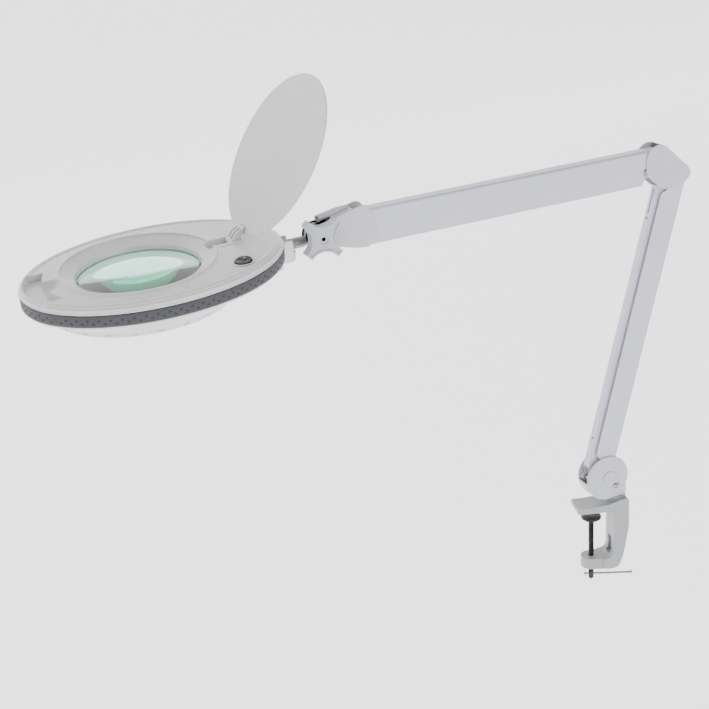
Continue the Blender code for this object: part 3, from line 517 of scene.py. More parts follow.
def make_materials():
    return {
        "white_paint": finish("white_powder_coat", (0.60, 0.60, 0.70), 0.36, grain=1300.0, depth=0.00005,
                              strength=0.2, coat=0.15),
        "cover_plastic": finish("cover_plastic", (0.55, 0.555, 0.595), 0.42, grain=1500.0, strength=0.3),
        "white_plastic": finish("shell_plastic", (0.74, 0.735, 0.74), 0.3, grain=1100.0, strength=0.12,
                                shift=0.015),
        "cast_paint": finish("cast_paint", (0.36, 0.365, 0.38), 0.42, grain=420.0, depth=0.00012,
                             strength=0.3, shift=0.06),
        "knob_plastic": finish("knob_plastic", (0.48, 0.485, 0.54), 0.4, grain=1600.0, strength=0.25),
        "grey_rubber": rubber(),
        "black_plastic": finish("black_plastic", (0.006, 0.006, 0.007), 0.38, grain=1200.0, shift=0.3,
                                specular=0.3),
        "dark_steel": steel("dark_steel", (0.055, 0.054, 0.053), 0.4, (1, 1, 6)),
        "stem_steel": steel("stem_steel", (0.27, 0.27, 0.29), 0.42, (6, 1, 1)),
        "bright_steel": steel("bright_steel", (0.40, 0.40, 0.41), 0.26, (1, 4, 1)),
        "lens_glass": glass(),
        "led_board_mask": circuit_board(),
        "diffuser_plastic": frosted(),
        "lid_plastic": finish("lid_plastic", (0.74, 0.735, 0.73), 0.45, grain=1400.0, strength=0.15,
                              shift=0.012),
    }


MATERIALS = make_materials()
LED_YELLOW = finish("led_phosphor", (0.86, 0.66, 0.12), 0.35, grain=2500.0)
# Lens rim: green ground-glass colour plus a painted glow, an emission that lights the rim and the glass
# corners that see it, though the rim is no lamp
GROUND_EDGE_PAINTED_GLOW = finish("ground_glass_edge_painted_glow", (0.05, 0.60, 0.48), 0.5, grain=2000.0)
glow(GROUND_EDGE_PAINTED_GLOW, (0.02, 0.62, 0.50), 0.45)
DOT_WHITE = finish("white_print", (0.9, 0.9, 0.9), 0.5, grain=3000.0)


# clamp


def clamp_casting():
    outline = [(-21.4, 0), (-21.4, 6.9), (-20.6, 7.7), (-5.5, 7.7), (7.4, 8.8), (18.5, 10.0), (26.0, 12.2),
               (33.5, 14.6), (41.5, 15.6), (43.4, 14.6), (44.0, 12.6), (44.0, -20.5), (43.0, -28.2),
               (40.8, -41.9), (38.2, -55.6), (36.3, -63.8), (33.4, -72.0), (30.6, -76.4), (27.0, -78.4),
               (24.0, -79.0), (12.0, -79.0), (12.0, -65.0), (14.5, -65.0), (18.3, -64.2), (21.6, -62.1),
               (23.7, -58.8), (24.5, -55.0), (24.5, -1.5), (23.0, 0)]
    body = prism(rounded(outline, 6.0, 5), -PLATE_HALF_WIDTH, PLATE_HALF_WIDTH)
    plan = hull([(0.0, 0.0, 13.0), (24, 12.5, 4), (24, -12.5, 4)])
    jaw = prism(plan, -79.0, -65.0, "Z")
    boss = lathe([(14.0, 8.0), (11.5, 12.6), (11.5, 17.6)], 56, "Z", (SWIVEL_X, 0.0))
    pocket = prism(rounded([(20, -63), (31, -63), (31, -39.5), (20, -39.5)], 3), -6.5, 6.5)
    mesh = shape(body, [jaw, boss],
                 [rod(5.2, -14, 30, 40, "Z", (SWIVEL_X, 0.0)), rod(3.85, -90, -60, 32, "Z"), pocket],
                 bevel=1.1, segments=3)
    piece("clamp_casting", "clamp_frame", CLAMP, mesh)


def clamp_foot():
    profile = [(4.8, -18.0), (6.0, -17.4), (12.0, -13.4), (12.5, -12.6), (12.5, -10.2), (12.0, -9.6),
               (10.6, -9.6), (10.2, -10.1), (9.4, -10.1), (9.0, -9.6), (7.2, -9.6), (6.8, -10.1),
               (6.0, -10.1), (5.6, -9.6), (2.0, -9.6)]
    mesh = shape(lathe(profile, 56, "Z", radius=0.35), cuts=[rod(2.6, -30, -12.6, 32, "Z")])
    piece("clamp_foot", "clamp_pad", CLAMP, mesh)


def threaded_screw():
    """Screw with a real helical thread between its plain ends."""
    rings = []
    around = 24
    start, end = SCREW_BOTTOM + 2.2, -19.2
    steps = int((end - start) / THREAD_PITCH * 6)
    for radius, height in ((2.2, SCREW_BOTTOM), (2.8, SCREW_BOTTOM + 0.5)):
        rings.append([(x, y, height) for x, y in circle(radius, around)])
    for i in range(steps + 1):
        height = start + (end - start) * i / steps
        fade = min(1.0, i / 6, (steps - i) / 6)
        ring = []
        for k in range(around):
            turn = (height / THREAD_PITCH - k / around) % 1.0
            crest = abs(2.0 * turn - 1.0)
            radius = SCREW_RADIUS - 0.75 * fade * min(1.0, 1.5 * crest)
            angle = 2 * math.pi * k / around
            ring.append((radius * math.cos(angle), radius * math.sin(angle), height))
        rings.append(ring)
    for height in (-18.4, -13.2):
        rings.append([(x, y, height) for x, y in circle(2.2, around)])
    collar = lathe([(3.3, TOMMY_HEIGHT - 4), (3.3, TOMMY_HEIGHT + 4)], 40, "Z", radius=0.3)
    mesh = shape(loft(rings), [collar], [rod(1.75, -8, 8, 24, "X", (0.0, TOMMY_HEIGHT))])
    piece("threaded_screw", "clamp_screw", SCREW, mesh)


def tommy_rod():
    profile = [(0.4, -9.4), (1.5, -9.1), (2.3, -8.3), (2.5, -7.7), (2.3, -6.9), (1.9, -6.4), (1.4, -6.1),
               (1.4, 48.7), (1.9, 49.0), (2.3, 49.7), (2.5, 50.5), (2.3, 51.2), (1.5, 51.8), (0.4, 52.0)]
    bar = SCREW @ Matrix.Translation((0.0, 0.0, TOMMY_HEIGHT))
    piece("tommy_rod", "tommy_bar", bar, lathe(rounded(profile, 1.0, 3, closed=False), 32, "X"))


# base


def eyelet(name, node, place, at, reach):
    """Rolled rivet through both cheeks, hollow at each end."""
    profile = [(PIN_RADIUS, -reach + 1.2), (3.7, -reach + 1.0), (4.0, -reach + 0.4), (3.6, -reach),
               (2.2, -reach), (1.7, -reach + 0.8), (1.7, reach - 0.8), (2.2, reach), (3.6, reach),
               (4.0, reach - 0.4), (3.7, reach - 1.0), (PIN_RADIUS, reach - 1.2)]
    piece(name, node, place, tube(profile, 36, "Y", at, radius=0.3))


def swivel_spigot():
    low = -46.4 - 12
    profile = [(3.6, low), (4.8, low + 1.2), (4.8, -43.0), (4.3, -42.6), (4.3, -41.0), (4.8, -40.6),
               (4.8, -19.0)]
    piece("swivel_spigot", "swivel_pin", ARM, lathe(profile, 40, "Z", (DRUM_TO_SWIVEL, 0.0), radius=0.4))


def drum_bracket():
    outline = hull([(0.0, 0.0, 5), (BASE_INNER[0], 0.0, 5), (-6, -17, 6)])
    corners = hull([(x, y, 7.6) for x in (11, 22.8) for y in (-2.4, 2.4)])
    foot = prism(corners, -28.1, -9.2, "Z")
    bridge = box(-10, 12, -CHEEK_OUTER, CHEEK_OUTER, -22.6, -12.6)
    mesh = shape(prism(outline, -CHEEK_OUTER, CHEEK_OUTER), [foot, bridge],
                 [box(-40, 3.2, -CHEEK_INNER, CHEEK_INNER, -12.6, 20),
                  box(3.0, 12, -CHEEK_INNER, CHEEK_INNER, -9.0, 20), cross_hole(RIVET_HOLE),
                  cross_hole(RIVET_HOLE, BASE_INNER), rod(1.9, -20, -3, 32, "Y", DRUM_SCREW),
                  rod(5.1, -40, -18.6, 40, "Z", (DRUM_TO_SWIVEL, 0.0))], bevel=0.45)
    piece("drum_bracket", "base_bracket", ARM, mesh)


def drum_covers():
    front = lathe([(6.0, -COVER_INNER), (28.0, -COVER_INNER), (28.5, -11.1), (28.3, -11.8), (27.3, -12.25),
                   (26.4, -12.3), (25.9, -12.1), (6.0, -12.1)], 128, "Y", radius=0.35)
    moat = prism(hull([(2.4, -0.9, 9.3), (11.1, -12.6, 5.9)]), -20.0, -11.6)
    badge = prism(hull([(2.4, -0.9, 8.6), (11.1, -12.6, 5.2)]), -12.75, -11.3)
    grooved = bmesh.new()
    add_mesh(grooved, shape(front, cuts=[moat]))
    mesh = shape(grooved, [badge], [rod(1.9, -20, 0, 32, "Y", DRUM_SCREW),
                                    rod(4.0, -20, -12.0, 36, "Y", DRUM_SCREW)], bevel=0.18)
    piece("drum_cover_front", "base_cover_front", ARM, mesh)
    profile = [(6.0, 10.6), (28.0, 10.6), (28.5, 11.1), (28.3, 11.8), (27.3, 12.25), (6.0, 12.25)]
    back = lathe(profile, 128, "Y", radius=0.35)
    walls = [prism(arc_strip(190, 268, 28.4, 26.5), -COVER_INNER + 0.3, COVER_INNER + 0.6),
             prism(arc_strip(-16, 38, 28.4, 26.5), -COVER_INNER + 0.3, COVER_INNER + 0.6)]
    piece("drum_cover_back", "base_cover_back", ARM, shape(back, walls, bevel=0.25))


def arc_strip(start, end, outer, inner, steps=28):
    angles = [start + (end - start) * i / steps for i in range(steps + 1)]
    return arc(outer, angles) + arc(inner, angles[::-1])


def cross_screw(name, node, place, at, y, radius=3.2):
    """Pan-head screw with a cross recess, its head facing -Y."""
    head = lathe([(1.0, y - 1.75), (2.2, y - 1.6), (radius - 0.3, y - 0.9), (radius, y - 0.3), (radius, y),
                  (1.5, y), (1.5, y + 8)], 40, "Y", at, radius=0.3)
    slots = [box(at[0] - 1.9, at[0] + 1.9, y - 3, y - 0.75, at[1] - 0.3, at[1] + 0.3),
             box(at[0] - 0.3, at[0] + 0.3, y - 3, y - 0.75, at[1] - 1.9, at[1] + 1.9)]
    piece(name, node, place, shape(head, cuts=slots))


# arms


def outer_profile():
    """Side view of an outer channel, pivots at z = 0 and z = ARM_LENGTH, with the back at +x."""
    low = arc(6.5, range(-90, 1, 9))
    left = [(-22.7, 28.4), (-15.7, 22.6), (-9.5, 12.0), (-6.5, 0.0)]
    left += arc(6.5, range(189, 270, 9))
    return low + [(x, ARM_LENGTH - z) for x, z in reversed(low)] + [
        (x, ARM_LENGTH - z) for x, z in reversed(left)] + left


def corner_cutter(x, y, radius):
    """Rounds the edge of a channel's back along its whole length; y says which side."""
    side = math.copysign(1.0, y)
    centre = (x - radius, y - side * radius)
    outline = []
    for k in range(13):
        a = math.pi / 2 * k / 12
        outline.append((centre[0] + radius * math.cos(a), centre[1] + side * radius * math.sin(a)))
    outline[0] = (x + 0.01, centre[1])
    outline[-1] = (centre[0], y + side * 0.01)
    outline += [(centre[0], y + side * 4.0), (x + 4.0, y + side * 4.0), (x + 4.0, centre[1])]
    return prism(outline, -30.0, ARM_LENGTH + 30.0, "Z")


def outer_channel(name, node, place, open_end=1.0):
    half = 10.2
    body = prism(outer_profile(), -half, half)
    inner = box(-40, 5.3, -9.0, 9.0, -20, ARM_PAST_END)
    cuts = [inner, box(5.2, 10, -9.0, 9.0, -20, 1),
            box(5.2, 10, -9.0, 9.0, ARM_LENGTH - open_end, ARM_PAST_END), cross_hole(RIVET_HOLE),
            cross_hole(RIVET_HOLE, (0.0, ARM_LENGTH)), corner_cutter(6.5, half, 3.2),
            corner_cutter(6.5, -half, 3.2)]
    piece(name, node, place, shape(body, cuts=cuts, bevel=0.22))


def inner_channel(name, node, place, depth, corner, slots=(), holes=()):
    half, face, back, lug = 6.15, -depth, 7.6, 4.8
    outline = [(face, corner), (-lug, corner - 7)]
    outline += arc(lug, range(180, 361, 10))
    outline += [(lug, 9), (back, 16)]
    outline += [(x, ARM_LENGTH - z) for x, z in reversed(outline)]
    cuts = [box(face + 1, 30, -half + 1, half - 1, -20, ARM_PAST_END),
            box(-30, 1.3, -half + 1, half - 1, -20, 15),
            box(-30, 1.3, -half + 1, half - 1, ARM_LENGTH - 15, ARM_PAST_END),
            cross_hole(RIVET_HOLE), cross_hole(RIVET_HOLE, (0.0, ARM_LENGTH))]
    for start, end in slots:
        ends = hull([(0.0, start + 1.1, 1.1), (0.0, end - 1.1, 1.1)], 24)
        cuts.append(loft([[(d, a, b) for a, b in ends] for d in (-20, -0.7)]))
    for height in holes:
        cuts.append(rod(1.6, -20, -1.1, 32, "X", (0.0, height)))
    piece(name, node, place, shape(prism(outline, -half, half), cuts=cuts, first_bevel=1.1, bevel=0.18))


def coil_spring(name, node, place):
    """Closely wound balancing spring with a hook at each end."""
    path = []
    radius, start, end, turns, around = 2.6, 60.0, 170.0, 58, 14
    for i in range(turns * around + 1):
        angle = 2 * math.pi * i / around
        grow = min(1.0, i / around, (turns * around - i) / around)
        path.append(Vector((radius * grow * math.cos(angle), radius * grow * math.sin(angle),
                            start + 4 + (end - start - 8) * i / (turns * around))))
    path = [Vector((0.0, 0.0, start))] + path + [Vector((0.0, 0.0, end))]
    rings = []
    for i, point in enumerate(path):
        along = (path[min(i + 1, len(path) - 1)] - path[max(i - 1, 0)]).normalized()
        side = along.cross(Vector((point.x, point.y, 0.0)) if point.xy.length > 0.1 else X).normalized()
        up = side.cross(along)
        rings.append([point + 0.62 * (math.cos(a) * side + math.sin(a) * up)
                      for a in (math.pi * k / 4 for k in range(8))])
    piece(name, node, place, loft(rings), sharp=60)


# elbow


ELBOW_DISCS = [(67.0, 390.5, 17.0), (79.0, 373.5, 19.5), (98.8, 370.3, 10.6), (84.5, 369.5, 15.4),
               (63.2, 379.5, 13.0)]


def shrunk(discs, by):
    return hull([(x, z, r - by) for x, z, r in discs], 96)


def plate_cover(discs, near, far):
    """Flat moulded cover whose visible edge rolls over, from near (visible) to far."""
    step = 1.0 if far > near else -1.0
    depths = [(0.9, near), (0.35, near + 0.12 * step), (0.08, near + 0.4 * step), (0.0, near + 0.8 * step)]
    depths.append((0.0, far))
    plain = [shrunk(discs, by) for by, _ in depths]
    count = min(len(ring) for ring in plain)
    rings = []
    for (by, depth), ring in zip(depths, plain):
        rings.append([(x, depth, z) for x, z in resample(ring, count)])
    return loft(rings)


def resample(ring, count):
    """Equal steps along a closed outline, starting at its rightmost point."""
    start = max(range(len(ring)), key=lambda i: ring[i][0])
    ring = [Vector(p) for p in ring[start:] + ring[:start]]
    ring.append(ring[0])
    lengths = [0.0]
    for a, b in zip(ring, ring[1:]):
        lengths.append(lengths[-1] + (b - a).length)
    result = []
    k = 0
    for i in range(count):
        goal = lengths[-1] * i / count
        while lengths[k + 1] < goal:
            k += 1
        t = (goal - lengths[k]) / (lengths[k + 1] - lengths[k])
        result.append(tuple(ring[k].lerp(ring[k + 1], t)))
    return result


def elbow_skirt():
    centre = Vector((83.0, 378.0))

    def wall(by):
        points = []
        for p in shrunk(ELBOW_DISCS, by):
            offset = Vector(p) - centre
            angle = math.degrees(math.atan2(offset.y, offset.x))
            if -8 < angle < 112:
                points.append((angle, p))
        return [p for _, p in sorted(points)]

    return prism(wall(0.0) + wall(1.6)[::-1], -COVER_INNER + 0.3, COVER_INNER + 0.6)


def elbow_pieces():
    pivots = (ELBOW_LOWER_OUTER, ELBOW_LOWER_INNER, ELBOW_UPPER_OUTER, ELBOW_UPPER_INNER)
    mesh = shape(prism(hull([(*at, 5) for at in pivots]), -CHEEK_OUTER, CHEEK_OUTER),
                 cuts=[box(40, 84, -CHEEK_INNER, CHEEK_INNER, 360, 410),
                       box(83, 120, -CHEEK_INNER, CHEEK_INNER, 360, 376.6)]
                 + [cross_hole(RIVET_HOLE, at) for at in pivots], bevel=0.35)
    piece("elbow_yoke", "elbow_bracket", ARM, mesh)
    front = plate_cover(ELBOW_DISCS, -COVER_OUTER, -COVER_INNER)
    piece("elbow_cheek_front", "elbow_cover_front", ARM, front)
    back = shape(plate_cover(ELBOW_DISCS, COVER_OUTER, COVER_INNER), [elbow_skirt()])
    piece("elbow_cheek_back", "elbow_cover_back", ARM, back)
    for name, at in (("lower_outer", ELBOW_LOWER_OUTER), ("upper_outer", ELBOW_UPPER_OUTER)):
        eyelet("elbow_rivet_" + name, "elbow_pin_" + name, ARM, at, OUTER_REACH)
    for name, at in (("lower_inner", ELBOW_LOWER_INNER), ("upper_inner", ELBOW_UPPER_INNER)):
        eyelet("elbow_rivet_" + name, "elbow_pin_" + name, ARM, at, INNER_REACH)


# wrist


WRIST_DISCS = [(-304.5, 377.3, 9.2), (-310.5, 360.8, 21.0), (-303.0, 352.6, 13.2), (-350.5, 360.0, 12.4)]


def wrist_pieces():
    discs = [(*WRIST_OUTER, 5), (*WRIST_INNER, 5), (*TILT_AXIS, 10)]
    mesh = shape(prism(hull(discs), -CHEEK_OUTER, CHEEK_OUTER),
                 cuts=[box(-333.5, -290, -CHEEK_INNER, CHEEK_INNER, 330, 400),
                       box(-380, -341.5, -CHEEK_INNER, CHEEK_INNER, 330, 400),
                       cross_hole(RIVET_HOLE, WRIST_OUTER), cross_hole(RIVET_HOLE, WRIST_INNER),
                       cross_hole(BOLT_HOLE, TILT_AXIS)], bevel=0.35)
    piece("wrist_yoke", "wrist_bracket", ARM, mesh)
    for side, far, near in (("front", -COVER_OUTER, -COVER_INNER), ("back", COVER_OUTER, COVER_INNER)):
        cover = shape(plate_cover(WRIST_DISCS, far, near), cuts=[cross_hole(BOLT_HOLE, TILT_AXIS)])
        piece("wrist_cheek_" + side, "wrist_cover_" + side, ARM, cover)
    eyelet("wrist_rivet_outer", "wrist_pin_outer", ARM, WRIST_OUTER, OUTER_REACH)
    eyelet("wrist_rivet_inner", "wrist_pin_inner", ARM, WRIST_INNER, INNER_REACH)
    slope = Matrix.Translation((-338.0, 0.0, 378.2)) @ Matrix.Rotation(math.radians(-14.5), 4, "Y")
    plate = prism(rounded([(-2, -2.0), (23.5, -2.0), (23.5, -0.4), (-2, -0.4)], 0.5), -10.2, 10.2)
    pipe = lathe([(4.0, -16.8), (4.0, 8.0), (1.8, 21.5)], 48, "X", (0.0, 1.6), radius=0.4)
    mouth = prism([(-19.0, 5.0), (-17.0, 5.0), (-13.6, -5.0), (-19.0, -5.0)], -6.0, 8.0, "Z")
    piece("cable_roof", "wrist_roof", ARM @ slope,
          shape(plate, [pipe], [rod(3.3, -18.0, 5.0, 48, "X", (0.0, 1.6)), mouth], bevel=0.15))
    for name, near, far in (("front", -6.6, -5.5), ("back", 5.5, 6.6)):
        section = [(13.6, near), (13.6, far), (3.5, far), (3.5, near)]
        piece("friction_washer_" + name, "friction_ring_" + name, TILT, tube(section, 72, "Y", radius=0.25))
    bolt = lathe([(2.6, -26.5), (3.0, -26.0), (3.0, 12.7), (3.05, 12.7)], 40, "Y")
    head = prism(circle(6.3, 6), 12.7, 16.4)
    piece("hex_bolt", "tilt_bolt", TILT, shape(bolt, [head], bevel=0.3))


def knob_outline(grow=0.0):
    """Four blunt lobes joined by hollow arcs; grow moves the edge outwards."""
    points = []
    tip = 25.4 + grow
    reach, hollow = 32.2, 18.7 - grow
    half = math.radians(45) - math.acos((tip ** 2 + reach ** 2 - hollow ** 2) / (2 * tip * reach))
    for quarter in range(4):
        base = math.radians(45 + 90 * quarter)
        for k in range(5):
            a = base + half * (k - 2) / 2
            points.append((tip * math.cos(a), tip * math.sin(a)))
        middle = base + math.radians(45)
        centre = (reach * math.cos(middle), reach * math.sin(middle))
        edge = (tip * math.cos(base + half), tip * math.sin(base + half))
        spread = math.atan2(edge[1] - centre[1], edge[0] - centre[0]) - (middle + math.pi)
        spread = (spread + math.pi) % (2 * math.pi) - math.pi
        for k in range(1, 20):
            a = middle + math.pi + spread * (1 - 2 * k / 20)
            points.append((centre[0] + hollow * math.cos(a), centre[1] + hollow * math.sin(a)))
    return points


def knob():
    """Lobed hand knob: a rim stands along its edge, and its middle has a round dimple."""
    body = prism(knob_outline(), -29.0, -14)
    star = prism(knob_outline(-2.1), -30.0, -27.7)
    dimple = lathe([(5.2, -26.5), (5.6, -30.0)], 48, "Y")
    mesh = shape(body, [rod(7.0, -15, -12.7)], [star, dimple, rod(3.3, -24.0, 0)], bevel=0.3, segments=3)
    piece("lobed_knob", "tilt_knob", TILT, mesh)


# head mount


def neck_and_stem():
    slope = math.asin(stem_x.z)
    end = TILT.inverted() @ joint_point("head_roll")
    drop = end.z - end.x * stem_x.z / stem_x.x
    turn = Matrix.Translation((0.0, 0.0, drop)) @ Matrix.Rotation(-slope, 4, "Y")
    neck = lathe([(4.6, -13.6), (5.2, -13.0), (5.2, -3.0)], 40, "X")
    bore = rod(3.5, -30, -4.6, 32, "X")
    for bm in (neck, bore):
        bm.transform(turn)
    mesh = shape(rod(11.8, -5.2, 5.2, 72), [neck], [bore, cross_hole(BOLT_HOLE)], bevel=0.5, segments=3)
    piece("tilt_eye_casting", "tilt_eye", TILT, mesh)
    profile = [(5.2, -4.6), (6.2, -3.8), (6.2, 9.0), (5.7, 9.5), (5.7, 11.0), (6.2, 11.5), (6.2, 22.4),
               (5.7, 22.9), (3.2, 22.9), (3.2, 31.4)]
    hub = lathe([(4.0, -13.5), (4.5, -13.0), (4.5, 0.0)], 40, "Z")
    piece("stem_rod", "head_stem", STEM, shape(lathe(profile, 48, "X", radius=0.2), [hub]))


# head


def grip_outline(outer, inner, span):
    """Crescent between the head's rim and the bowl; outer and inner move its two arcs."""
    points = []
    for k in range(41):
        a = math.radians(180 - span + 2 * span * k / 40)
        points.append(((136.0 + outer) * math.cos(a), (99.3 + outer) * math.sin(a)))
    for k in range(33):
        a = math.radians(180 + span - 0.6 - (2 * span - 1.2) * k / 32)
        points.append((BOWL_X + (99.0 - inner) * math.cos(a), (99.0 - inner) * math.sin(a)))
    return points


def top_shell():
    """Upper housing: rolled shoulder, flat deck, dished bowl, grip well, hinge slot, switch seat."""
    profile = [(140.2, 109.0, 0, 0.3), (140.35, 109.15, 0, 2.0), (139.4, 108.3, -0.1, 4.6),
               (136.8, 106.2, -0.5, 7.3), (134.4, 103.4, -0.8, 8.7), (132.2, 100.4, -0.7, 8.95),
               (130.9, 98.6, -0.5, 8.4), (130.2, 97.7, -0.4, 7.9), (128.6, 96.9, -0.9, 8.0),
               (104.0, 89.0, -10.0, 8.9), (87.5, 86.0, BOWL_X + 0.6, 9.6), (84.2, 84.2, BOWL_X, 10.3),
               (82.6, 82.6, BOWL_X, 11.1), (80.4, 80.4, BOWL_X, 11.15), (65.6, 65.6, BOWL_X, 2.6),
               (64.7, 64.7, BOWL_X, 1.9), (64.4, 64.4, BOWL_X, -2.2), (67.0, 67.0, BOWL_X, -2.2),
               (67.0, 67.0, BOWL_X, -1.6), (133.3, 102.1, 0, -1.2), (133.3, 102.1, 0, 0.3)]
    pad = [hull([(x, y * side, 4.0 + grow) for x in (70.0, 92.0) for y, side in ((10, 1), (10, -1))], 32)
           for grow in (1.2, 0.6, 0.0)]
    count = min(len(ring) for ring in pad)
    ramp_top = loft([[(x, y, z) for x, y in resample(ring, count)] for ring, z in zip(pad, (7.0, 9.4, 10.3))])
    well = loft([[(x, y, z) for x, y in grip_outline(outer, inner, 24.5)]
                 for outer, inner, z in ((-3.4, -0.6, 1.3), (-2.6, -0.3, 2.2), (-0.6, 0.0, 6.4),
                                         (0.2, 0.8, 8.4), (1.8, 2.2, 10.5))])
    thumb = lathe([(3.0, 1.6), (8.0, 3.2), (12.0, 6.4), (14.0, 8.9), (16.0, 12.0)], 48, "Z", (-112.0, 0.4))
    slot = box(60, 97.5, -8.9, 8.9, 3.4, 20)
    cuts = [well, thumb, slot, rod(1.7, -13.4, 13.4, 24, "Y", (HINGE_X, HINGE_Z)),
            rod(10.3, -10, 20, 64, "Z", SWITCH_AT), lathe([(12.0, 8.9), (12.4, 12.0)], 64, "Z", SWITCH_AT)]
    piece("top_shell", "upper_housing", HEAD, shape(oval_shell(profile, 1.2), [ramp_top], cuts), sharp=28)


def dimpled_ring():
    """Soft bumper: two staggered rows of small dimples around its outer wall."""
    cells, per_cell = 68, 16
    count = cells * per_cell
    fine = 4000
    spots = [(140.7 * math.cos(2 * math.pi * i / fine), 109.5 * math.sin(2 * math.pi * i / fine))
             for i in range(fine)]
    path = resample(spots, count)
    wall = [-0.3, -0.7, -1.4] + [-2.0 - 0.48 * k for k in range(18)] + [-11.0, -11.8, -12.5]
    rows = ((-4.6, 0.25), (-8.0, 0.75))
    pitch = 790.0 / cells
    rings = []
    for z in wall:
        bulge = 0.45 * (1.0 - abs((z + 6.4) / 6.1) ** 4)
        ring = []
        for i, (x, y) in enumerate(path):
            normal = Vector((x / 140.7 ** 2, y / 109.5 ** 2)).normalized()
            sink = 0.0
            for height, phase in rows:
                along = ((i / per_cell - phase + 0.5) % 1.0 - 0.5) * pitch
                near = (along ** 2 + (z - height) ** 2) / 1.8 ** 2
                if near < 1.0:
                    sink = 1.15 * (1.0 - near) ** 1.5
            ring.append((x + normal.x * (bulge - 0.65 - sink), y + normal.y * (bulge - 0.65 - sink), z))
        rings.append(ring)
    for inset, z in ((6.4, -12.5), (6.4, -0.3)):
        rings.append([(x * (1 - inset / 140.4), y * (1 - inset / 109.2), z) for x, y in path])
    mesh = shape(loft(rings, closed=True), cuts=[rod(12.4, -40, 20, 64, "Z", (SOCKET_X, 0.0)),
                                                 box(120, SOCKET_X, -9.4, 9.4, -30, 10)])
    piece("dimpled_bumper", "bumper_ring", HEAD, mesh, sharp=45)


def bottom_shell():
    profile = [(133.3, 102.1, 0, -1.6), (133.3, 102.1, 0, -12.9), (138.4, 107.2, 0, -12.9),
               (138.1, 107.0, -0.1, -14.4), (136.6, 105.8, -0.3, -15.5), (120.0, 105.0, -7.5, -18.9),
               (103.0, 103.0, BOWL_X, -22.2), (100.9, 100.9, BOWL_X, -22.8), (100.4, 100.4, BOWL_X, -24.0),
               (99.8, 99.8, BOWL_X, -28.6), (94.9, 94.9, BOWL_X, -28.6), (94.9, 94.9, BOWL_X, -20.6),
               (67.1, 67.1, BOWL_X, -20.6), (67.1, 67.1, BOWL_X, -28.6), (63.4, 63.4, BOWL_X, -28.6),
               (63.4, 63.4, BOWL_X, -6.4), (66.4, 66.4, BOWL_X, -6.1), (66.4, 66.4, BOWL_X, -2.2),
               (68.8, 68.8, BOWL_X, -2.2), (68.8, 68.8, BOWL_X, -17.8), (97.0, 97.0, BOWL_X, -17.8),
               (130.0, 99.0, 0, -12.6), (130.6, 99.4, 0, -1.6)]
    gusset = box(100, SOCKET_X - 4, -9, 9, -24, -6)
    wall = [(10.0, -30), (11.4, -29.3), (12.0, -28.0), (12.0, -6.6), (11.4, -5.3), (10.2, -5)]
    barrel = lathe(wall, 64, "Z", (SOCKET_X, 0.0))
    nub = lathe([(2.2, -21.5), (3.0, -20.6), (3.2, -13.6)], 32, "Z", (124.0, -42.0))
    cuts = [rod(9.2, -20.4, 5, 56, "Z", (SOCKET_X, 0.0)), rod(4.9, -26.8, -10, 40, "Z", (SOCKET_X, 0.0)),
            box(SOCKET_X, SOCKET_X + 20, -9.4, 9.4, -20.4, 0.0), *vent_slots()]
    mesh = shape(oval_shell(profile, 0.5), [gusset, barrel, nub], cuts)
    piece("bottom_shell", "lower_housing", HEAD, mesh, sharp=30)


def vent_slots():
    """Short blind cooling slots in the outer wall of the light tier."""
    slots = []
    for k in range(VENT_COUNT):
        bm = box(98.9, 102.5, -3.2, 3.2, -26.8, -25.4, 0.5)
        turn = Matrix.Rotation(2 * math.pi * (k + 0.5) / VENT_COUNT, 4, "Z")
        bm.transform(Matrix.Translation((BOWL_X, 0.0, 0.0)) @ turn)
        slots.append(bm)
    return slots


def optics():
    edge, curve = 65.0, 346.0
    rings = [i * edge / 18 for i in range(1, 19)]
    top = [(r, -2.5 + (edge ** 2 - r ** 2) / (2 * curve)) for r in rings]
    low = [(r, -8.0 - (edge ** 2 - r ** 2) / (2 * curve)) for r in rings]
    rim = [(edge - 0.5, -2.4), (edge, -2.9), (edge, -7.6), (edge - 0.5, -8.05)]
    profile = top[:-1] + rim + low[:-1][::-1]
    lens = piece("magnifier_lens", "lens", LENS, lathe(profile, 128), sharp=40)
    # Faces at the lens rim take the ground-edge material with its painted glow
    lens.data.materials.append(GROUND_EDGE_PAINTED_GLOW)
    to_lens = LENS.inverted()
    for face in lens.data.polygons:
        if (to_lens @ face.center).xy.length > edge - 0.4:
            face.material_index = 1
    board = [(94.0, -22.6), (94.0, -21.0), (68.0, -21.0), (68.0, -22.6)]
    piece("light_board", "led_board", LENS, tube(board, 128, radius=0.1))
    leds = bmesh.new()
    for k in range(LED_COUNT):
        chip = box(-1.4, 1.4, -1.75, 1.75, -23.5, -22.6, 0.3)
        turn = Matrix.Rotation(2 * math.pi * k / LED_COUNT, 4, "Z")
        chip.transform(turn @ Matrix.Translation((LED_RADIUS, 0.0, 0.0)))
        data = bpy.data.meshes.new("chip")
        chip.to_mesh(data)
        chip.free()
        add_mesh(leds, data)
    piece("light_chips", "led_board", LENS, leds, LED_YELLOW, stands_for=False)
    ring = [(94.3, -27.8), (94.3, -26.2), (93.4, -25.8), (68.7, -25.8), (67.8, -26.2), (67.8, -27.8),
            (74.0, -28.1), (81.0, -28.2), (88.0, -28.1)]
    piece("frosted_ring", "light_diffuser", LENS, tube(ring, 160, radius=0.5))


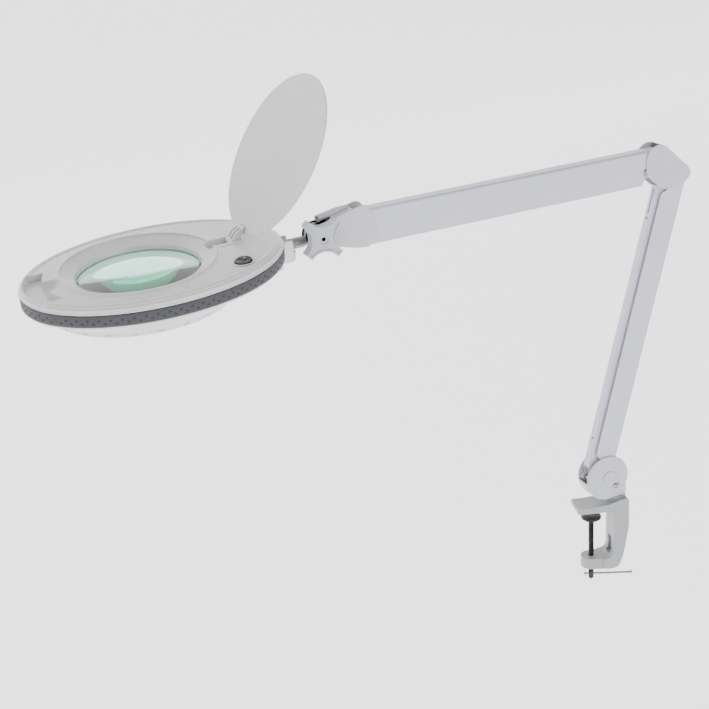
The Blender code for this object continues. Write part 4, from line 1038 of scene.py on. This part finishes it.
def switch_pieces():
    profile = [(9.9, 1.0), (9.9, 8.6), (11.9, 8.9), (11.9, 9.1), (10.5, 9.3), (9.75, 9.15), (9.6, 8.8),
               (9.6, 3.0), (0.6, 3.0)]
    piece("switch_collar", "switch_bezel", SWITCH, lathe(profile, 72, "Z", radius=0.25))
    rings = []
    for radius, low, high in ((8.8, -2.4, -2.4), (9.35, -1.7, -1.7), (9.35, 0.9, 1.2), (9.05, 1.4, 1.7),
                              (8.3, 1.7, 1.9), (5.0, 1.3, 1.8), (2.4, 1.1, 1.8), (0.4, 1.05, 1.8)):
        ring = []
        for x, y in circle(radius, 56):
            dish = low + (high - low) * abs(y) / radius
            ring.append((x, y, dish))
        rings.append(ring)
    piece("rocker_button", "switch_rocker", ROCKER, loft(rings), sharp=50)
    dot = lathe([(0.95, 1.35), (0.95, 1.75), (0.7, 1.82)], 24, "Z", (0.0, 4.6))
    piece("rocker_dot", "switch_rocker", ROCKER, dot, DOT_WHITE, stands_for=False)


def lid_pieces():
    centre = BOWL_X - HINGE_X
    low = 12.5 - HINGE_Z
    edge = LID_RADIUS
    profile = [(60.0, low + 0.55), (edge - 7.5, low + 0.35), (edge - 5.0, low + 0.05), (edge - 1.7, low),
               (edge - 0.5, low + 0.1), (edge, low + 0.7), (edge - 0.1, low + 1.3), (edge - 0.9, low + 1.75),
               (edge - 3.5, low + 2.0), (60.0, low + 2.4), (20.0, low + 2.6)]
    piece("lid_disc", "lid", LID, lathe(profile, 160, "Z", (centre, 0.0), radius=0.3), sharp=60)
    top = 12.2 - HINGE_Z
    outline = [(-20.5, top), (-20.5, top - 1.6), (-11.0, -1.8), (-2.4, -2.6)]
    outline += arc(3.3, range(-120, 61, 12))
    outline.append((-7.0, top))
    cuts = [rod(1.8, -20, 20, 32), box(-16.8, -3.4, -4.9, -1.7, -10, 10, 0.4),
            box(-16.8, -3.4, 1.7, 4.9, -10, 10, 0.4)]
    piece("lid_arm", "lid_hinge_arm", LID, shape(prism(outline, -8.3, 8.3), cuts=cuts, bevel=0.35))
    pivot = lathe([(1.1, -12.8), (1.5, -12.4), (1.5, 12.4), (1.1, 12.8)], 32, "Y")
    piece("lid_pivot", "lid_hinge_pin", HINGE, pivot)


# stage


def camera():
    right = Vector((0.93211, -0.35802, -0.05352))
    up = Vector((0.16561, 0.29017, 0.94248))
    back = right.cross(up).normalized()
    data = bpy.data.cameras.new("camera")
    data.lens = 74.0
    data.sensor_width = 36.0
    data.clip_end = 50.0
    item = bpy.data.objects.new("camera", data)
    item.matrix_world = Matrix.Translation((-0.8336, -1.4609, 0.8008)) @ Matrix(
        (right, back.cross(right).normalized(), back)).transposed().to_4x4()
    bpy.context.scene.collection.objects.link(item)
    bpy.context.scene.camera = item


def area_light(name, where, aim, size, power):
    data = bpy.data.lights.new(name, "AREA")
    data.shape = "RECTANGLE"
    data.size, data.size_y = size
    data.energy = power
    item = bpy.data.objects.new(name, data)
    bpy.context.scene.collection.objects.link(item)
    item.location = where
    item.rotation_euler = (Vector(aim) - Vector(where)).to_track_quat("-Z", "Y").to_euler()


def stage():
    bm = bmesh.new()
    rows = []
    depths = [(-6.0, 0.0), (3.0, 0.0)]
    for k in range(1, 13):
        a = math.radians(90 * k / 12)
        depths.append((3.0 + 2.0 * math.sin(a), 2.0 - 2.0 * math.cos(a)))
    depths.append((5.0, 7.0))
    for y, z in depths:
        rows.append([bm.verts.new((x, y, z)) for x in (-9.0, 9.0)])
    for low, high in zip(rows, rows[1:]):
        bm.faces.new((low[0], low[1], high[1], high[0]))
    bm.transform(Matrix.Translation((0.0, 0.0, FLOOR)) @ Matrix.Rotation(math.radians(20), 4, "Z"))
    mesh = bpy.data.meshes.new("studio_sweep")
    bm.to_mesh(mesh)
    bm.free()
    mesh.shade_smooth()
    item = bpy.data.objects.new("studio_sweep", mesh)
    bpy.context.scene.collection.objects.link(item)
    paper = finish("studio_paper", (0.93, 0.93, 0.93), 0.7, grain=300.0, shift=0.004)
    item.data.materials.append(glow(paper, (1.0, 1.0, 1.0), 1.7))


def lights():
    world = bpy.data.worlds.new("studio")
    bpy.context.scene.world = world
    world.use_nodes = True
    world.node_tree.nodes["Background"].inputs["Color"].default_value = (1.0, 1.0, 1.0, 1.0)
    world.node_tree.nodes["Background"].inputs["Strength"].default_value = 0.3
    area_light("key_bank", (0.9, -2.3, 1.1), (-0.25, 0.0, 0.35), (1.6, 1.6), 38.0)
    area_light("side_bank", (-2.4, -1.3, 0.9), (-0.3, 0.0, 0.35), (1.2, 1.6), 12.0)
    area_light("top_bank", (-0.3, 0.6, 2.4), (-0.2, 0.0, 0.3), (2.2, 1.4), 14.0)


def build():
    clamp_casting()
    clamp_foot()
    threaded_screw()
    tommy_rod()
    swivel_spigot()
    drum_bracket()
    drum_covers()
    cross_screw("drum_screw", "base_screw", ARM, DRUM_SCREW, -12.5)
    eyelet("base_rivet_outer", "base_pin_outer", ARM, BASE_OUTER, OUTER_REACH)
    eyelet("base_rivet_inner", "base_pin_inner", ARM, BASE_INNER, INNER_REACH)
    outer_channel("lower_cover_channel", "lower_outer_channel", LOWER)
    inner_channel("lower_link_channel", "lower_inner_channel", LOWER_LINK, 7.9, 16, [(334, 365)], [329, 52])
    outer_channel("upper_cover_channel", "upper_outer_channel", UPPER, 16.0)
    inner_channel("upper_link_channel", "upper_inner_channel", UPPER_LINK, 13.6, 14)
    coil_spring("lower_coil", "lower_spring", LOWER)
    coil_spring("upper_coil", "upper_spring", UPPER)
    elbow_pieces()
    wrist_pieces()
    knob()
    neck_and_stem()
    top_shell()
    dimpled_ring()
    bottom_shell()
    optics()
    switch_pieces()
    lid_pieces()


camera()
build()
stage()
lights()
